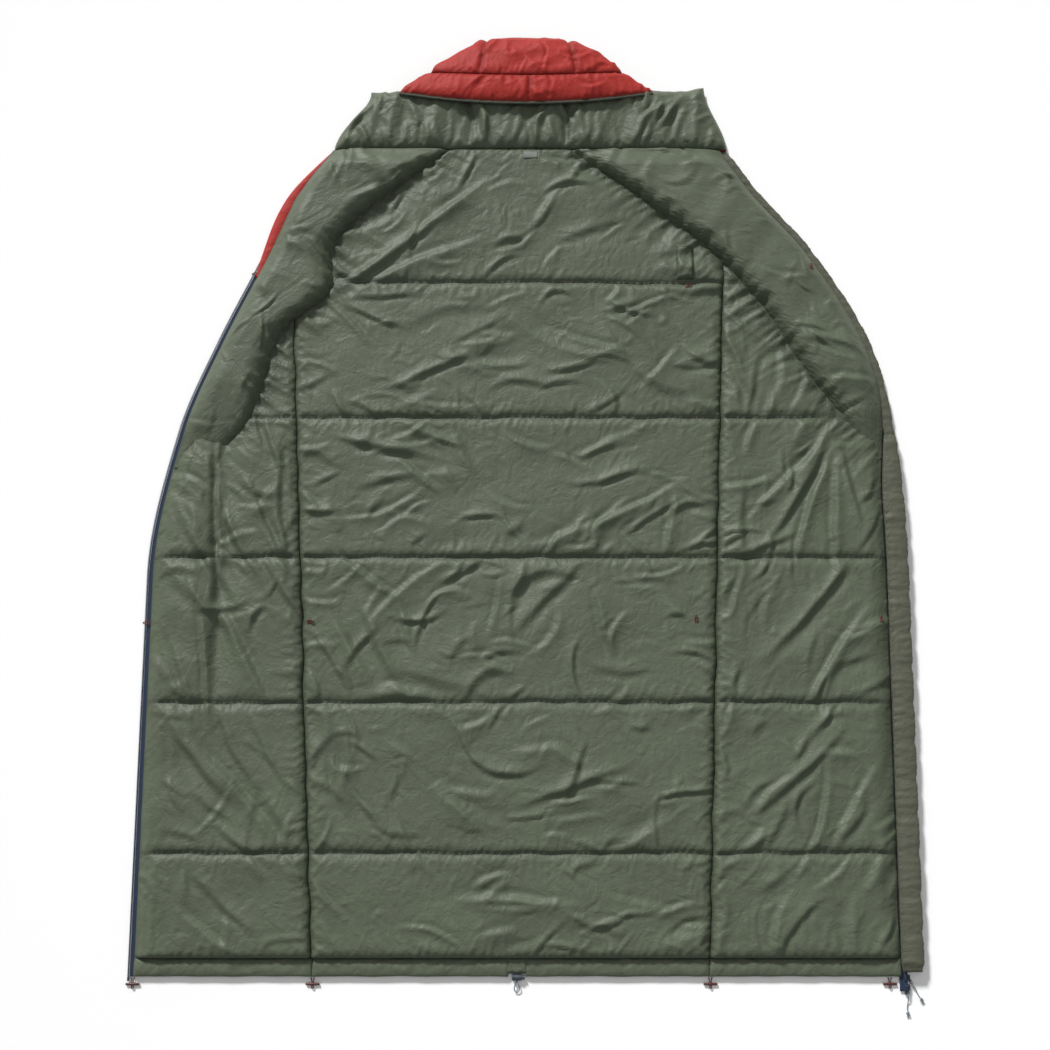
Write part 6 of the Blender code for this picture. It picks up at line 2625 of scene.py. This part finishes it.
@dataclass
class Trim:
    """The stash pocket, the blank label and the threads along the seams."""

    bag: Bag
    relief: Relief

    def build(self) -> None:
        """Makes the pocket, the label and the rows of stitches."""
        self._pocket()
        self._label()
        self._threads()

    def _pocket(self) -> None:
        """A little flat pocket with a bound mouth, puckered along its sewn sides."""
        low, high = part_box("stash_pocket")
        us, vs = np.linspace(0, 1, 41), np.linspace(0, 1, 79)
        u, v = np.meshgrid(us, vs)
        xs = low.x + (high.x - low.x) * u + 0.0014 * Noise(231)(v * 4, u * 0) * (1 - 2 * np.abs(u - 0.5))
        ys = low.y + (high.y - low.y) * v
        ground = self.relief.under(xs, ys)
        for _ in range(10):
            even_inside(ground)
        rim = np.minimum(np.minimum(u, 1 - u) * 0.038, v * 0.076)
        soft = pillow(rim, 0.010)
        loose = 0.0085 * soft + 0.0016 * Noise(233).folds(xs, ys, 60.0, 0.012, 0.05) * soft
        hem = 0.0012 * np.exp(-((v - 0.955) / 0.02) ** 2)
        height = ground + 0.0008 + loose + hem + 0.0004 * Noise(235)(u * 3, v * 22) * (1 - soft)
        # Painted shade: the 'seam' distance darkens the pocket within about 11 mm of its sewn sides and
        # bottom and of the stitch line below its mouth.
        seam = np.minimum(rim, np.abs(v - 0.92) * 0.076) + 0.0005
        top = np.stack([xs, ys, height], -1)
        bottom = np.stack([xs, ys, ground - 0.0006], -1)
        obj = closed_pad("stash_pocket_sewn", top, bottom, np.stack([xs, ys], -1), seam=seam)
        obj.data.materials.append(LINING.material())
        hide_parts("stash_pocket")
        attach(obj, "back")

    def _label(self) -> None:
        """A blank woven label, sewn down along its upper and lower edges."""
        low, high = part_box("neck_label")
        us, vs = np.linspace(0, 1, 25), np.linspace(0, 1, 17)
        u, v = np.meshgrid(us, vs)
        xs, ys = low.x + (high.x - low.x) * u, low.y + (high.y - low.y) * v
        ground = self.relief.under(xs, ys)
        for _ in range(30):
            even_inside(ground)
            ground[[0, -1]] = ground[[1, -2]]
            ground[:, [0, -1]] = ground[:, [1, -2]]
        ground += 0.0012 + 0.0010 * np.sin(v * math.pi)
        top = np.stack([xs, ys, ground], -1)
        bottom = top - np.array([0.0, 0.0, 0.0007])
        obj = closed_pad("neck_label_woven", top, bottom, np.stack([xs, ys], -1))
        obj.data.materials.append(LABEL.material())
        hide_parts("neck_label")
        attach(obj, "back")
        rows = [top[k] + np.array([0.0, 0.0, 0.0003]) for k in (1, -2)]
        thread = stitches("neck_label_stitches", rows, 0.0024, 0.0018, 0.00022)
        thread.data.materials.append(THREAD_DARK.material())
        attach(thread, "back")

    def _threads(self) -> None:
        """Lockstitches down the grooves of the quilting, and beside the folds."""
        pattern = self.bag.pattern

        def laid(xs: np.ndarray, ys: np.ndarray) -> np.ndarray:
            """A seam line on the cloth."""
            points = self.bag.sewn(np.stack([xs, ys + xs * 0, xs * 0], -1))
            return self.relief.over(points, 0.0001, 3)
        middle, fronts = [], {Side.LEFT: [], Side.RIGHT: []}
        for y in QUILT_SEAMS:
            left, right = (float(pattern.fold(side, y)) for side in Side)
            covered = [float(pattern.band(side, y)) if y > BAND_START[side.index] else 9.0 for side in Side]
            low, high = -min(left, covered[0]) + 0.012, min(right, covered[1]) - 0.012
            middle.append(laid(np.arange(low, high, 0.004), np.array(y)))
            for side in Side:
                fold, edge = float(pattern.fold(side, y)), float(pattern.panel_edge(side, y))
                stop = min(edge, covered[side.index]) - 0.006
                if stop > fold + 0.03:
                    fronts[side].append(laid(side.value * np.arange(fold + 0.008, stop, 0.004), np.array(y)))
        thread = stitches("quilt_stitches_back", middle)
        thread.data.materials.append(THREAD_DARK.material())
        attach(thread, "back")
        for side in Side:
            thread = stitches(f"quilt_stitches_{side.word}", fronts[side])
            thread.data.materials.append(THREAD_DARK.material())
            self.bag.bend(thread, side)


# ---------------------------------------------------------------- studio
class Studio:
    """Floor, light and camera."""

    EYE = (-0.004, -0.663, 3.007)
    AIM = (-0.004, -0.079, 0.0)

    def build(self) -> None:
        """Sets the stage for a picture from nearly overhead."""
        self._floor()
        self._sun((-0.50, 1.0, 0.66), 3.9, 9.0)
        self._light("fill", (2.0, -1.6, 3.4), 2.6, 6.0)
        self._light("top", (0.0, 0.2, 4.4), 2.4, 26.0)
        world = bpy.data.worlds.new("studio")
        world.use_nodes = True
        world.node_tree.nodes["Background"].inputs["Color"].default_value = (1.0, 1.0, 1.0, 1.0)
        world.node_tree.nodes["Background"].inputs["Strength"].default_value = 0.26
        scene = bpy.context.scene
        scene.world = world
        scene.view_settings.view_transform = "Standard"
        camera = bpy.data.objects.new("camera", bpy.data.cameras.new("camera"))
        camera.data.lens, camera.data.sensor_width = 50.0, 36.0
        camera.location = self.EYE
        way = Vector(self.AIM) - Vector(self.EYE)
        camera.rotation_euler = way.to_track_quat("-Z", "Y").to_euler()
        scene.collection.objects.link(camera)
        scene.camera = camera

    @staticmethod
    def _sun(way: tuple[float, float, float], strength: float, angle: float) -> None:
        """An even light.

        Args:
            way: from the bag towards it.
            strength: in watts to the square metre.
            angle: that it is spread over, in degrees.
        """
        data = bpy.data.lights.new("key", "SUN")
        data.energy, data.angle = strength, math.radians(angle)
        light = bpy.data.objects.new("key", data)
        light.rotation_euler = (-Vector(way)).to_track_quat("-Z", "Y").to_euler()
        light.location = way
        bpy.context.scene.collection.objects.link(light)

    @staticmethod
    def _light(name: str, where: tuple[float, float, float], size: float, power: float) -> None:
        """A square soft light aimed at the bag's middle.

        Args:
            name: object name.
            where: its middle.
            size: of its side.
            power: in watts.
        """
        data = bpy.data.lights.new(name, "AREA")
        data.shape, data.size, data.energy = "SQUARE", size, power
        light = bpy.data.objects.new(name, data)
        light.location = where
        light.rotation_euler = (-Vector(where)).to_track_quat("-Z", "Y").to_euler()
        bpy.context.scene.collection.objects.link(light)

    @staticmethod
    def _floor() -> None:
        """A pale plain floor."""
        floor = new_mesh("floor", np.array([[-9, -9, 0], [9, -9, 0], [9, 9, 0], [-9, 9, 0]], float),
                         np.array([[0, 1, 2, 3]]))
        material = bpy.data.materials.new("floor")
        material.use_nodes = True
        shader = material.node_tree.nodes["Principled BSDF"]
        shader.inputs["Base Color"].default_value = (0.98, 0.98, 0.98, 1.0)
        shader.inputs["Roughness"].default_value = 0.9
        floor.data.materials.append(material)


def main() -> None:
    """Builds the whole picture."""
    logging.basicConfig(level=logging.INFO, format="%(message)s")
    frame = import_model()
    bag = Bag.placed()
    Studio().build()
    lock, ends = CordLock(bag, frame["nodes"]), ZipEnds()
    lock.cord()
    ends.cords()
    Shell(bag).build()
    covers = Lining(bag).build()
    covers += [ShoulderBaffle(bag, side, 91 + 20 * side.index).build() for side in Side]
    relief = Relief(covers)
    Toggles(bag, relief).build()
    Trim(bag, relief).build()
    lock.build()
    ends.build()
    FootHem(bag).build()
    ZipEdges(bag).build()
    HoodBack(bag).build()
    HoodTop(bag).build()


if __name__ == "__main__":
    main()
